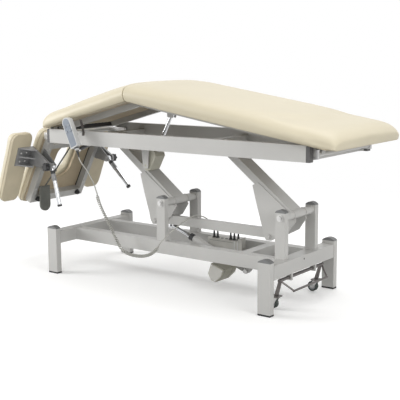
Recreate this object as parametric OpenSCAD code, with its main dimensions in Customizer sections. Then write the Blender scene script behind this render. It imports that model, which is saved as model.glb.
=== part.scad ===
/* [Base] */
// X of the head-end legs, measured from the datum under the lift
head_leg_x = -832.5; // [-900:0.5:-780]
// X of the foot-end legs, measured from the datum
foot_leg_x = 499; // [480:0.5:560]
// Width over the outer faces of the legs
base_w = 606; // [590:1:680]
// Leg tube size along the table
leg_len = 65; // [55:1:70]
// Leg tube size across the table
leg_wide = 32; // [28:1:34]
// Height of the top of a leg tube above the floor
leg_top = 240; // [236:1:260]
// Height of the rubber foot under a leg
foot_pad_h = 8; // [4:1:12]
// Wall of the steel tubes
tube_wall = 2.5; // [1.5:0.1:3]
// Underside of the base beams above the floor
beam_z = 161; // [155:1:165]
// Depth of the base beams
beam_h = 64.5; // [60:0.5:68]
// Width over the outer faces of the two base side rails
rails_w = 305.4; // [300:0.2:312]
// Width of one base side rail
rail_wide = 46.7; // [40:0.1:48]
// Height of a dome cap over its tube
cap_h = 15; // [8:1:20]
// Width of a floor-locking caster wheel
wheel_w = 18; // [14:1:22]
// Diameter of a caster wheel
wheel_d = 50; // [40:1:52]

/* [Lift] */
// X of the pivot posts nearer the head end
head_post_x = -210.8; // [-230:0.1:-190]
// X of the pivot posts nearer the foot end
foot_post_x = 484.3; // [470:0.1:490]
// Post tube size along the table
post_len = 53; // [46:1:58]
// Post tube size across the table
post_wide = 29.6; // [26:0.1:31]
// Height of the top of a post above the floor
post_top = 437; // [430:1:442]
// Height of the lower arm pivots
pivot_z = 414; // [408:1:418]
// Distance between the lower and the upper pivot of an arm
arm_len = 505; // [490:1:520]
// Slope of the arms above level as the table stands
arm_angle = 37.5; // [36:0.1:38]
// Width of an arm tube across the table
arm_wide = 90; // [84:1:92]
// Thickness of the gusset plates
gusset_t = 5; // [3:0.5:6]
// Depth of the tie bar that couples the arms
tie_h = 45; // [38:1:47]
// Outer diameter of an actuator tube
actuator_d = 34; // [28:1:36]
// Diameter of an actuator's chromed rod
rod_d = 20; // [16:1:22]

/* [Upper frame] */
// Underside of the upper side rails
upper_z = 692.3; // [690:0.1:695]
// Depth of an upper side rail
upper_h = 72.2; // [68:0.1:73]
// Width over the two upper side rails
upper_w = 560; // [550:1:600]
// Width of one upper side rail
upper_rail_wide = 30; // [25:1:32]
// X of the head end of the upper rails
upper_x0 = -846.6; // [-855:0.2:-840]
// X of the foot end of the upper rails
upper_x1 = 689.3; // [680:0.1:692]

/* [Couch top] */
// Width of the long cushions
couch_w = 663; // [620:1:700]
// Thickness of the long cushions at their crown
couch_t = 88; // [70:1:95]
// Thickness of the boards under the cushions
board_t = 15; // [10:1:18]
// Tilt of the foot section about its foot-end pivot
foot_angle = 8.9; // [8.5:0.1:9]
// Tilt of the back section below level
back_angle = 15; // [14.8:0.1:15.2]
// Length of the back section
back_len = 606; // [600:1:612]
// Foot end of the foot cushion beyond its pivot
foot_over = 117; // [105:1:125]
// Length of the head section from its hinge
head_len = 465; // [440:1:470]
// Width of the head cushion
head_w = 456; // [440:1:470]
// Thickness of the head cushion
head_t = 66; // [55:1:75]
// Angle at which the head section hangs
head_angle = 62.3; // [61:0.1:63]
// Length of an armrest pad
armrest_len = 398; // [380:1:405]
// Thickness of an armrest pad
armrest_t = 56; // [45:1:60]

/* [Hidden] */
$fn = 64;
// Overrun of a cut past the face it opens
over = 1;
// Gap that keeps separate pieces from touching
gap = 0.3;
// Radial clearance of a running pin
run = 0.05;
// Colours as the photograph shows them
paint = [0.76, 0.75, 0.73];
cap_grey = [0.36, 0.38, 0.39];
black = [0.10, 0.10, 0.11];
chrome = [0.80, 0.81, 0.83];
zinc = [0.62, 0.63, 0.65];
cream = [0.91, 0.86, 0.74];
tan = [0.65, 0.58, 0.47];
housing_grey = [0.73, 0.72, 0.63];
cord_grey = [0.67, 0.67, 0.64];

// Turns a point in XZ about the Y axis
function turn(p, a) = [p[0] * cos(a) + p[1] * sin(a), p[1] * cos(a) - p[0] * sin(a)];
function add(p, q) = [p[0] + q[0], p[1] + q[1]];
function sub(p, q) = [p[0] - q[0], p[1] - q[1]];
function mid(a, b) = (a + b) / 2;

// Block between two corners
module block(a, b) {
  translate([min(a[0], b[0]), min(a[1], b[1]), min(a[2], b[2])])
    cube([abs(b[0] - a[0]), abs(b[1] - a[1]), abs(b[2] - a[2])]);
}

// Block and its mirror image across the centre plane
module both() {
  children();
  mirror([0, 1, 0]) children();
}

// Round bar along Y from y0 to y1 at a point in XZ
module bar_y(p, d, y0, y1) {
  translate([p[0], y1, p[1]]) rotate([90, 0, 0]) cylinder(d = d, h = y1 - y0);
}

// Plate in XZ from y0 to y1
module plate_y(pts, y0, y1) {
  translate([0, y1, 0]) rotate([90, 0, 0]) linear_extrude(y1 - y0) polygon(pts);
}

// Round bar between two points in XZ at one y
module bar_xz(p, q, y, d) {
  v = sub(q, p);
  translate([p[0], y, p[1]]) rotate([0, atan2(v[0], v[1]), 0]) cylinder(d = d, h = norm(v));
}

// Turns its children about an axis along Y through a point in XZ
module about(p, a) {
  translate([p[0], 0, p[1]]) rotate([0, a, 0]) translate([-p[0], 0, -p[1]]) children();
}

// Rectangular tube along X, open at both ends
module tube_x(x0, x1, y0, y1, z0, z1) {
  difference() {
    block([x0, y0, z0], [x1, y1, z1]);
    block([x0 - over, y0 + tube_wall, z0 + tube_wall], [x1 + over, y1 - tube_wall, z1 - tube_wall]);
  }
}

// Rectangular tube along Y, open at both ends
module tube_y(x0, x1, y0, y1, z0, z1) {
  difference() {
    block([x0, y0, z0], [x1, y1, z1]);
    block([x0 + tube_wall, y0 - over, z0 + tube_wall], [x1 - tube_wall, y1 + over, z1 - tube_wall]);
  }
}

// Rectangular tube along Z, open at both ends
module tube_z(x0, x1, y0, y1, z0, z1) {
  difference() {
    block([x0, y0, z0], [x1, y1, z1]);
    block([x0 + tube_wall, y0 + tube_wall, z0 - over], [x1 - tube_wall, y1 - tube_wall, z1 + over]);
  }
}

// Places that the base pieces share
leg_out = base_w / 2;
leg_in = leg_out - leg_wide;
rail_out = rails_w / 2;
rail_in = rail_out - rail_wide;
beam_top = beam_z + beam_h;
post_out = 149;
post_in = post_out - post_wide;
head_beam_x1 = head_leg_x + leg_len / 2;
foot_beam_x0 = foot_leg_x - leg_len / 2;
cross_x0 = 250;
cross_x1 = 300;
box_shelf_t = 5;
shaft_d = 20;
washer_d = 34;
washer_t = 3;
bolt_head_d = 22;
bolt_head_t = 8;

// Four legs and the two end beams, welded into end frames
module base_end_frames() {
  color(paint)
    for (x = [head_leg_x, foot_leg_x]) {
      union() {
        both()
          tube_z(x - leg_len / 2, x + leg_len / 2, leg_in, leg_out, foot_pad_h, leg_top);
        tube_y(x - leg_len / 2, x + leg_len / 2, -leg_in, leg_in, beam_z, beam_top);
        if (x == foot_leg_x) bar_hangers();
      }
    }
}

// Side rails and cross members between the end frames
module base_rails() {
  color(paint) {
    both() tube_x(head_beam_x1, foot_beam_x0, rail_in, rail_out, beam_z, beam_top);
    difference() {
      union() {
        tube_y(cross_x0, cross_x1, -rail_in, rail_in, beam_top - rear_cross_h, beam_top);
        actuator_ears();
      }
      bar_y(lift_q, pin_d, -rail_in, rail_in);
    }
    for (x = box_shelf_x)
      block([x, box_y0, box_z0 - box_shelf_t], [x + box_shelf_w, rail_in, box_z0]);
  }
}
rear_cross_h = 50;
pin_d = 12;
ear_t = 6;
ear_r = 15;

// Two ears under the rear cross tube that hold the lift actuator
module actuator_ears() {
  for (side = [-1, 1])
    translate([0, lift_y + side * (lift_eye_w / 2 + gap + ear_t / 2), 0]) {
      plate_y([[cross_x0, beam_top - rear_cross_h], [cross_x1, beam_top - rear_cross_h],
        add(lift_q, [ear_r, 0]), add(lift_q, [0, -ear_r]), add(lift_q, [-ear_r, 0]),
        add(lift_q, [-ear_r / 2, ear_r])], -ear_t / 2, ear_t / 2);
    }
}

// Posts that carry the lower arm pivots
module pivot_posts() {
  color(paint)
    for (x = [head_post_x, foot_post_x])
      both() difference() {
        tube_z(x - post_len / 2, x + post_len / 2, post_in, post_out, beam_top, post_top);
        bar_y([x, pivot_z], shaft_d, post_in - over, post_out + over);
      }
}

// Dome of a rectangular cap
module dome(x0, x1, y0, y1, z) {
  rx = (x1 - x0) / 2;
  intersection() {
    block([x0, y0, z], [x1, y1, z + cap_h]);
    translate([mid(x0, x1), y1, z + cap_h - dome_r(rx)])
      rotate([90, 0, 0]) cylinder(r = dome_r(rx), h = y1 - y0);
  }
}
function dome_r(half) = (half * half + (cap_h - cap_rim) * (cap_h - cap_rim)) / (2 * (cap_h - cap_rim));
cap_rim = 3;

// Plastic dome caps of the legs and the posts
module dome_caps() {
  color(cap_grey) {
    for (x = [head_leg_x, foot_leg_x])
      both() dome(x - leg_len / 2, x + leg_len / 2, leg_in, leg_out, leg_top);
    for (x = [head_post_x, foot_post_x])
      both() dome(x - post_len / 2, x + post_len / 2, post_in, post_out, post_top);
  }
}

// Rubber feet with the plugs that hold them in the legs
module rubber_feet() {
  plug_h = 18;
  inset = tube_wall + gap;
  color(black)
    for (x = [head_leg_x, foot_leg_x])
      both() union() {
        block([x - leg_len / 2, leg_in, 0], [x + leg_len / 2, leg_out, foot_pad_h]);
        block([x - leg_len / 2 + inset, leg_in + inset, foot_pad_h - over],
          [x + leg_len / 2 - inset, leg_out - inset, foot_pad_h + plug_h]);
      }
}

// Two pivot shafts with their washers and bolt heads
module pivot_shafts() {
  color(zinc)
    for (x = [head_post_x, foot_post_x])
      union() {
        bar_y([x, pivot_z], shaft_d, -post_out, post_out);
        both() {
          bar_y([x, pivot_z], washer_d, post_out, post_out + washer_t);
          bar_y([x, pivot_z], bolt_head_d, post_out + washer_t, post_out + washer_t + bolt_head_t);
        }
      }
  y1 = lift_eye_w / 2 + gap + ear_t;
  color(zinc)
    translate([0, lift_y, 0])
      union() {
        bar_y(lift_q, pin_d, -y1, y1);
        both() bar_y(lift_q, bolt_head_d, y1, y1 + bolt_head_t);
      }
}

// Control box on its shelf strips
box_x0 = -45;
box_x1 = 127;
box_y0 = 34;
box_y1 = 98;
box_z0 = 184;
box_z1 = 229;
box_shelf_w = 30;
box_shelf_x = [box_x0 + box_shelf_w / 2, box_x1 - 1.5 * box_shelf_w];
flange_t = 4;
flange_h = 24;
module control_box() {
  color(cord_grey)
    union() {
      block([box_x0, box_y0, box_z0], [box_x1, box_y1, box_z1]);
      block([box_x1, box_y0, box_z0], [box_x1 + flange_t, box_y1, box_z1 + flange_h / 2]);
      block([box_x1 + flange_t, box_y0, box_z0],
        [box_x1 + flange_h, box_y0 + flange_t, box_z1 + flange_h / 2]);
    }
}

// Plugs on the box with the fixed motor lead that loops between them
plug_d0 = 15;
plug_d1 = 7;
plug_h = 34;
plug_y = 62;
plug_x = [-36, -14, 66, 88, 112];
fixed_lead_d = 6;
module box_leads() {
  color(black)
    for (x = plug_x)
      translate([x, plug_y, box_z1]) cylinder(d1 = plug_d0, d2 = plug_d1, h = plug_h);
  color(cord_grey) loop_lead(plug_x[1], plug_x[2]);
}

// Half-ring lead from one plug over to another
module loop_lead(x0, x1) {
  r = (x1 - x0) / 2;
  translate([mid(x0, x1), plug_y, box_z1 + plug_h]) rotate([90, 0, 0])
    rotate_extrude(angle = 180) translate([r, 0]) circle(d = fixed_lead_d);
}

// Arm pivots as the table stands
head_p = [head_post_x, pivot_z];
foot_p = [foot_post_x, pivot_z];
arm_v = [-arm_len * cos(arm_angle), arm_len * sin(arm_angle)];
head_u = add(head_p, arm_v);
foot_u = add(foot_p, arm_v);
// Extents of the arm tube above and below its pivot line
arm_above = 10;
arm_below = 26;
arm_end = 4;
sleeve_d = 40;
upper_sleeve_d = 30;
upper_pin_d = 16;
// Crank bolt that the tie bar hangs on, from the lower pivot
crank = [-123.5, -113.5];
crank_bolt_d = 14;
// Foot end of the actuator and its eye on the left gusset, at rest
lift_q = [200, 100];
lift_k = [-268, 272];
lift_y = 12;
lift_eye_w = 20;
// Gusset outline from the lower pivot, as shares of the crank's reach
gusset_shares = [[-1.10, 0.80], [-1.28, 0.72], [-1.14, 0.19], [-0.95, -0.45], [-0.90, -0.67],
  [-0.82, -0.80], [-0.66, -0.80], [-0.10, -0.50], [0.13, -0.16], [0.09, -0.07]];
crank_r = norm(crank);

// Arm tube with its lower and upper sleeves, laid from a lower pivot
module lift_arm(p) {
  u = add(p, arm_v);
  color(paint)
    difference() {
      union() {
        translate([p[0], 0, p[1]]) rotate([0, arm_angle, 0])
          difference() {
            block([-arm_len + arm_end, -arm_wide / 2, -arm_below], [-arm_end, arm_wide / 2, arm_above]);
            block([-arm_len - over, -arm_wide / 2 + tube_wall, -arm_below + tube_wall],
              [over, arm_wide / 2 - tube_wall, arm_above - tube_wall]);
          }
        bar_y(p, sleeve_d, -post_in + gap, post_in - gap);
        bar_y(u, upper_sleeve_d, -arm_wide / 2 + tube_wall / 2, arm_wide / 2 - tube_wall / 2);
      }
      bar_y(p, shaft_d + 2 * run, -post_in, post_in);
      bar_y(u, upper_pin_d + 2 * run, -arm_wide, arm_wide);
    }
}
module left_lift_arm() { lift_arm(head_p); }
module right_lift_arm() { lift_arm(foot_p); }

// Pair of gusset plates with the crank bolt holes
module gusset(p) {
  pts = [for (s = gusset_shares) add(p, s * crank_r)];
  y0 = arm_wide / 2;
  both()
    difference() {
      plate_y(pts, y0, y0 + gusset_t);
      bar_y(p, sleeve_d + 2 * gap, y0 - over, y0 + gusset_t + over);
      bar_y(add(p, crank), crank_bolt_d + 2 * run, y0 - over, y0 + gusset_t + over);
    }
}
bush_d = 30;
module left_gusset() {
  k = lift_k;
  y0 = arm_wide / 2;
  color(paint) {
    gusset(head_p);
    union() {
      plate_y([add(k, [-bush_d / 2, 0]), add(k, [0, -bush_d / 2]), add(k, [bush_d / 2, 0]),
        add(k, [bush_d, bush_d * 1.4]), add(k, [-bush_d, bush_d])], y0 - gusset_t - gap, y0 - gap);
      bar_y(k, bush_d, lift_y + lift_eye_w / 2 + gap, y0 - gap);
    }
  }
}
module right_gusset() { color(paint) gusset(foot_p); }

// Tie bar with the bolts that it turns on
tie_above = 34.5;
tie_y0 = -44;
tie_y1 = -16;
module tie_bar() {
  a = add(head_p, crank);
  b = add(foot_p, crank);
  end = 16;
  z0 = a[1] + tie_above - tie_h;
  y1 = arm_wide / 2 + gusset_t;
  color(paint)
    difference() {
      tube_x(a[0] - end, b[0] + end, tie_y0, tie_y1, z0, z0 + tie_h);
      for (p = [a, b]) bar_y(p, crank_bolt_d, tie_y0 - over, tie_y1 + over);
    }
  color(zinc)
    for (p = [a, b])
      union() {
        bar_y(p, crank_bolt_d, -y1 - gap, y1 + gap);
        both() bar_y(p, bolt_head_d, y1 + gap, y1 + gap + bolt_head_t);
      }
}

// Lift actuator, laid along a line from its foot pivot
lift_v = sub(lift_k, lift_q);
lift_tilt = atan2(lift_v[1], -lift_v[0]);
lift_len = norm(lift_v);
lift_tube_s = [22, 372];
eye_d = 28;

// Puts its children on a line that leaves a point towards the head end
module along(p, tilt, y) {
  translate([p[0], y, p[1]]) rotate([0, tilt, 0]) children();
}

// Eye with its pin hole at a distance along the line
module eye(s, w, hole) {
  difference() {
    bar_y([-s, 0], eye_d, -w / 2, w / 2);
    bar_y([-s, 0], hole, -w, w);
  }
}

// Tube of an actuator with the bore for its rod
module actuator_tube(s, d, bore) {
  translate([-s[0], 0, 0]) rotate([0, -90, 0])
    difference() {
      cylinder(d = d, h = s[1] - s[0]);
      translate([0, 0, actuator_floor]) cylinder(d = bore, h = s[1] - s[0]);
    }
}
actuator_floor = 20;

// Rod of an actuator with the eye at its end
module actuator_rod(s0, s1, d, w, hole) {
  difference() {
    union() {
      translate([-s0, 0, 0]) rotate([0, -90, 0]) cylinder(d = d, h = s1 - s0);
      bar_y([-s1, 0], eye_d, -w / 2, w / 2);
    }
    bar_y([-s1, 0], hole, -w, w);
  }
}
module lift_actuator_tube() {
  color(paint)
    along(lift_q, lift_tilt, lift_y)
      difference() {
        union() {
          actuator_tube(lift_tube_s, actuator_d, rod_d + 2 * run);
          bar_y([0, 0], eye_d, -lift_eye_w / 2, lift_eye_w / 2);
          translate([-lift_tube_s[0] - over, 0, 0]) rotate([0, 90, 0]) cylinder(d = rod_d, h = eye_d / 2);
        }
        bar_y([0, 0], pin_d + 2 * run, -lift_eye_w, lift_eye_w);
      }
}
lift_rod_s0 = 120;
module lift_actuator_rod() {
  color(chrome)
    along(lift_q, lift_tilt, lift_y)
      actuator_rod(lift_rod_s0, lift_len, rod_d, lift_eye_w, pin_d);
}

// Motor housing that hangs beside the actuator tube
motor_s = [53, 130];
motor_drop = 79;
motor_y = [-132, -actuator_d / 2 - gap];
motor_chamfer = 24;
module lift_motor_housing() {
  color(housing_grey)
    along(lift_q, lift_tilt, lift_y)
      plate_y([[-motor_s[0], 0], [-motor_s[0], -motor_drop + 2 * motor_chamfer],
        [-motor_s[0] - motor_chamfer, -motor_drop],
        [-motor_s[1] + motor_chamfer, -motor_drop], [-motor_s[1], -motor_drop + motor_chamfer],
        [-motor_s[1], 0]], motor_y[0], motor_y[1]);
}

// Places of the upper frame
upper_out = upper_w / 2;
upper_in = upper_out - upper_rail_wide;
upper_top = upper_z + upper_h;
cross_h = 42;
cross_w = 40;
cross_top = upper_z + cross_h;
ear_gap = arm_wide / 2 + gap;
upper_ear_t = 6;
upper_ear_r = 14;
// Foot-end pivot, ridge pivot and head hinge, with the sections flat
foot_pivot = [715, 725];
board_z = foot_pivot[1] + 42;
ridge_flat = [-297, board_z - 14];
head_pivot = [-905, 725];
hinge_ear_y0 = 236;
hinge_ear_y1 = upper_in - gap / 3;
journal_d = 16;
pivot_bar_d = 24;
// Head-side anchor of the gas spring on the upper frame and on the head frame
spring_u = [head_u[0] - 103, 712];
spring_e_flat = [-1000, 690];
spring_ear_t = 5;
spring_eye_w = 12;
side_bar_y = [-180, -155];

module upper_side_rails() {
  color(paint)
    both() tube_x(upper_x0, upper_x1, upper_in, upper_out, upper_z, upper_top);
}

// Ear plates beside a sleeve, from a cross tube edge to the pin
module pin_ears(x, p, y0, t, r, z0, z1) {
  both()
    union() {
      plate_y([[x, z0], [x, z1], [p[0], z1], [p[0], z0]], y0, y0 + t);
      bar_y(p, 2 * r, y0, y0 + t);
    }
}

// Cross tubes with the ears of the upper pivots and of the gas spring
cross_near = 38.6;
cross_a = [head_u[0] - cross_near - cross_w, head_u[0] - cross_near];
cross_b = [foot_u[0] - cross_near - cross_w, foot_u[0] - cross_near];
cross_c = [632, 672];
module upper_cross_tubes() {
  color(paint)
    difference() {
      union() {
        for (c = [cross_a, cross_b, cross_c])
          tube_y(c[0], c[1], -upper_in, upper_in, upper_z, cross_top);
        pin_ears(cross_a[1], head_u, ear_gap, upper_ear_t, upper_ear_r, head_u[1] - upper_ear_r, cross_top);
        pin_ears(cross_b[1], foot_u, ear_gap, upper_ear_t, upper_ear_r, foot_u[1] - upper_ear_r, cross_top);
        pin_ears(cross_a[0], spring_u, spring_eye_w / 2 + gap, spring_ear_t, upper_ear_r,
          spring_u[1] - upper_ear_r, spring_u[1] + upper_ear_r);
        tube_x(cross_a[1], cross_b[0], side_bar_y[0], side_bar_y[1], cross_top - side_bar_h, cross_top);
      }
      bar_y(head_u, upper_pin_d, -arm_wide, arm_wide);
      bar_y(foot_u, upper_pin_d, -arm_wide, arm_wide);
      bar_y(spring_u, spring_pin_d, -arm_wide / 2, arm_wide / 2);
    }
}
side_bar_h = 30;
spring_pin_d = 8;

// End caps of the upper rails
end_cap_t = 18;
module rail_end_caps() {
  color(cap_grey)
    both()
      for (x = [upper_x0 - end_cap_t, upper_x1])
        difference() {
          block([x, upper_in, upper_z], [x + end_cap_t, upper_out, upper_top]);
          for (side = [-1, 1])
            translate([x + end_cap_t / 2 + side * end_cap_t * 0.55, mid(upper_in, upper_out), upper_top])
              rotate([0, side * 45, 0])
                cube([end_cap_t, upper_w, end_cap_t * 0.6], center = true);
        }
}

// Brackets of the foot-end pivot and of the head hinge
ear_plate_z0 = 705;
glide_top = 738.4;
foot_bracket_top = 745;
module hinge_brackets() {
  color(zinc)
    both()
      difference() {
        union() {
          block([head_pivot[0] - upper_ear_r, hinge_ear_y0, ear_plate_z0],
            [upper_x0 + 66, hinge_ear_y1, glide_top]);
          block([cross_c[1], hinge_ear_y0, ear_plate_z0],
            [foot_pivot[0] + upper_ear_r, hinge_ear_y1, foot_bracket_top]);
        }
        bar_y(head_pivot, journal_d + 2 * run, hinge_ear_y0 - over, hinge_ear_y1 + over);
        bar_y(foot_pivot, journal_d + 2 * run, hinge_ear_y0 - over, hinge_ear_y1 + over);
      }
}

// Pins of the upper arm pivots and of the gas spring
module upper_pivot_pins() {
  y1 = ear_gap + upper_ear_t;
  color(zinc) {
    for (p = [head_u, foot_u])
      union() {
        bar_y(p, upper_pin_d, -y1, y1);
        both() bar_y(p, bolt_head_d, y1, y1 + bolt_head_t);
      }
    union() {
      bar_y(spring_u, spring_pin_d, -spring_eye_w / 2 - spring_ear_t - gap,
        spring_eye_w / 2 + spring_ear_t + gap);
      both() bar_y(spring_u, spring_pin_d * 1.6, spring_eye_w / 2 + spring_ear_t + gap,
        spring_eye_w / 2 + spring_ear_t + gap + washer_t);
    }
  }
}

// Hanger of the peak actuator under the near side bar
peak_b = [-299, 598];
peak_y = side_bar_y[1] + 46.5;
hanger_half = 40.5;
hanger_t = 6;
hanger_x = [-325, -275];
hanger_web_z = 690;
module peak_hanger() {
  color(paint)
    difference() {
      union() {
        for (s = [-1, 1])
          translate([0, peak_y + s * (hanger_half + hanger_t / 2), 0])
            plate_y([[hanger_x[0], hanger_web_z + hanger_t], [hanger_x[1], hanger_web_z + hanger_t],
              add(peak_b, [ear_r, -ear_r]), add(peak_b, [-ear_r, -ear_r])], -hanger_t / 2, hanger_t / 2);
        block([hanger_x[0], peak_y - hanger_half - hanger_t, hanger_web_z],
          [hanger_x[1], peak_y + hanger_half + hanger_t, hanger_web_z + hanger_t]);
        block([hanger_x[0], peak_y - hanger_half - hanger_t, hanger_web_z],
          [hanger_x[1], peak_y - hanger_half, cross_top]);
      }
      bar_y(peak_b, pin_d + 2 * run, peak_y - hanger_half * 2, peak_y + hanger_half * 2);
    }
}

// Hand control that hangs on the near rail by its clip
handset_c = [-615.8, 754.1];
handset_tilt = -24.3;
handset_w = 54;
handset_len = 172;
handset_t = 27;
handset_y = -couch_w / 2 - gap;
button_d = 13;
button_depth = 8;
clip_t = 2;
button_out = 2.5;
button_r = 0.4;
button_places = [[-13, 44], [13, 44], [-13, 16], [13, 16]];

// Puts its children on the face plane of the hand control
module on_handset() {
  translate([handset_c[0], handset_y, handset_c[1]]) rotate([0, handset_tilt, 0]) children();
}
module handset_case() {
  r = handset_w / 2;
  neck = 15;
  color(cord_grey)
    on_handset()
      difference() {
        union() {
          block([-r, -handset_t, -handset_len / 2 + neck], [r, 0, handset_len / 2 - r]);
          bar_y([0, handset_len / 2 - r], handset_w, -handset_t, 0);
          translate([0, -handset_t / 2, -handset_len / 2]) cylinder(d = handset_t * 0.75, h = neck + over);
        }
        for (p = button_places)
          bar_y(p, button_d + 2 * button_r, -handset_t - over, -handset_t + button_depth);
      }
  color(cap_grey)
    translate([handset_c[0] - r, 0, 0]) {
      block([0, handset_y, upper_top + gap], [handset_w, -upper_in, upper_top + gap + clip_t]);
      block([0, -upper_in, upper_top - handset_w / 2],
        [handset_w, -upper_in + washer_t, upper_top + gap + clip_t]);
    }
}
module handset_button(i) {
  color(i == 0 || i == 1 ? black : cap_grey)
    on_handset() bar_y(button_places[i], button_d, -handset_t - button_out, -handset_t + button_depth - button_stroke - gap);
}
button_stroke = 1.5;
module button_lift_up() { handset_button(0); }
module button_lift_down() { handset_button(1); }
module button_peak_up() { handset_button(2); }
module button_peak_down() { handset_button(3); }

// Peak actuator between its hanger and the foot section
peak_f_flat = [-172.4, 716.6];
peak_a = add(foot_pivot, turn(sub(peak_f_flat, foot_pivot), foot_angle));
peak_v = sub(peak_a, peak_b);
peak_tilt = atan2(peak_v[1], -peak_v[0]);
peak_len = norm(peak_v);
peak_tube_s = [-20, 152];
peak_rod_s0 = 104;
peak_eye_w = 20;
peak_rod_d = 18;
peak_body_s = [-24, 84];
peak_body_up = 30;
peak_body_half = 36;
module peak_actuator_tube() {
  color(paint)
    along(peak_b, peak_tilt, peak_y)
      translate([-peak_tube_s[0], 0, 0]) rotate([0, -90, 0])
        difference() {
          cylinder(d = actuator_d, h = peak_tube_s[1] - peak_tube_s[0]);
          translate([0, 0, washer_t]) cylinder(d = peak_rod_d + 2 * run, h = peak_tube_s[1] - peak_tube_s[0]);
        }
}
module peak_motor_housing() {
  x0 = -peak_body_s[1];
  x1 = -peak_body_s[0];
  c = peak_body_up / 2;
  color(housing_grey)
    along(peak_b, peak_tilt, peak_y)
      difference() {
        union() {
          plate_y([[x0, -peak_body_up + c], [x0 + c, -peak_body_up], [x1 - c, -peak_body_up],
            [x1, -peak_body_up + c], [x1, peak_body_up - c], [x1 - c, peak_body_up],
            [x0 + c, peak_body_up], [x0, peak_body_up - c]], -peak_body_half, peak_body_half);
          bar_y([0, 0], pin_d, -hanger_half - hanger_t, hanger_half + hanger_t);
        }
        translate([-peak_tube_s[0], 0, 0]) rotate([0, -90, 0]) cylinder(d = actuator_d, h = peak_tube_s[1]);
      }
}
module peak_actuator_rod() {
  color(chrome)
    along(peak_b, peak_tilt, peak_y)
      actuator_rod(peak_rod_s0, peak_len, peak_rod_d, peak_eye_w, pin_d);
}

// Crowned cushion outline: half section as shares of half width and thickness
section_shares = [[0.975, 0], [1, 0.30], [0.992, 0.52], [0.965, 0.70], [0.915, 0.84], [0.83, 0.93],
  [0.62, 0.98], [0.31, 1]];
// Stations near a rounded end, as shares of its roll length
roll_shares = [0, 0.10, 0.28, 0.55, 1];
function roll_height(s) = s >= 1 ? 1 : 0.42 + 0.58 * sqrt(1 - pow(1 - s, 2.2));
function roll_width(s, corner) = s >= 1 ? 0 : corner * (1 - sqrt(1 - pow(1 - s, 2)));

// Full ring of a cushion at x: half width w, thickness t, underside at z
function cushion_ring(x, w, t, z) = concat(
  [for (s = section_shares) [x, s[0] * w, z + s[1] * t]],
  [[x, 0, z + t]],
  [for (i = [len(section_shares) - 1:-1:0]) [x, -section_shares[i][0] * w, z + section_shares[i][1] * t]]);

// Triangles of a closed skin over equal rings
function skin_faces(rings, n) = concat(
  [for (i = [0:rings - 2], k = [0:n - 1]) [i * n + k, (i + 1) * n + k, i * n + (k + 1) % n]],
  [for (i = [0:rings - 2], k = [0:n - 1]) [i * n + (k + 1) % n, (i + 1) * n + k, (i + 1) * n + (k + 1) % n]],
  [for (k = [1:n - 2]) [0, k, k + 1]],
  [for (k = [1:n - 2]) let (b = (rings - 1) * n) [b, b + k + 1, b + k]]);

// Cushion from x0 to x1, with a rolled end of length r0 or r1 where not zero
module cushion(x0, x1, w0, w1, t, z, r0, r1, corner) {
  n_mid = 5;
  a = x0 + r0;
  b = x1 - r1;
  st = concat(
    r0 > 0 ? [for (s = roll_shares) [x0 + s * r0, roll_height(s), roll_width(s, corner)]] : [[x0, 1, 0]],
    [for (i = [1:n_mid - 1]) [a + (b - a) * i / n_mid, 1, 0]],
    r1 > 0 ? [for (i = [4:-1:0]) let (s = roll_shares[i]) [x1 - s * r1, roll_height(s), roll_width(s, corner)]]
      : [[x1, 1, 0]]);
  pts = [for (s = st) each cushion_ring(s[0], w0 + (w1 - w0) * (s[0] - x0) / (x1 - x0) - s[2], t * s[1], z)];
  polyhedron(pts, skin_faces(len(st), len(pts) / len(st)));
}

// Shared sizes of the boards and the frames under the long cushions
board_inset = 18;
cushion_roll = 95;
cushion_corner = 34;
strip_y0 = 185;
strip_y1 = 215;
strip_h = 28;
strip_back = 8;
knuckle_t = 6;
knuckle_r = 13;
ridge_pin_d = 10;
foot_x1 = foot_pivot[0] + foot_over;
back_x0 = ridge_flat[0] - back_len;
ridge_gap = gap / 2;
fold = foot_angle + back_angle;
half_w = couch_w / 2;
board_y = half_w - board_inset;
foot_board_x1 = foot_x1 - board_inset * 2;
back_board_x0 = back_x0 + board_inset;

// The foot section tilts about its foot-end pivot, the back section about the ridge
module foot_place() { about(foot_pivot, foot_angle) children(); }
module back_place() { foot_place() about(ridge_flat, -fold) children(); }

module foot_cushion() {
  color(cream)
    foot_place()
      difference() {
        cushion(ridge_flat[0] + ridge_gap, foot_x1, half_w, half_w, couch_t, board_z, 0, cushion_roll, cushion_corner);
        block([ridge_flat[0] - over, -board_y, board_z - over], [foot_board_x1, board_y, board_z + board_t]);
      }
}
module foot_board() {
  color(tan)
    foot_place()
      block([ridge_flat[0] + ridge_gap, -board_y, board_z], [foot_board_x1, board_y, board_z + board_t]);
}

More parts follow.
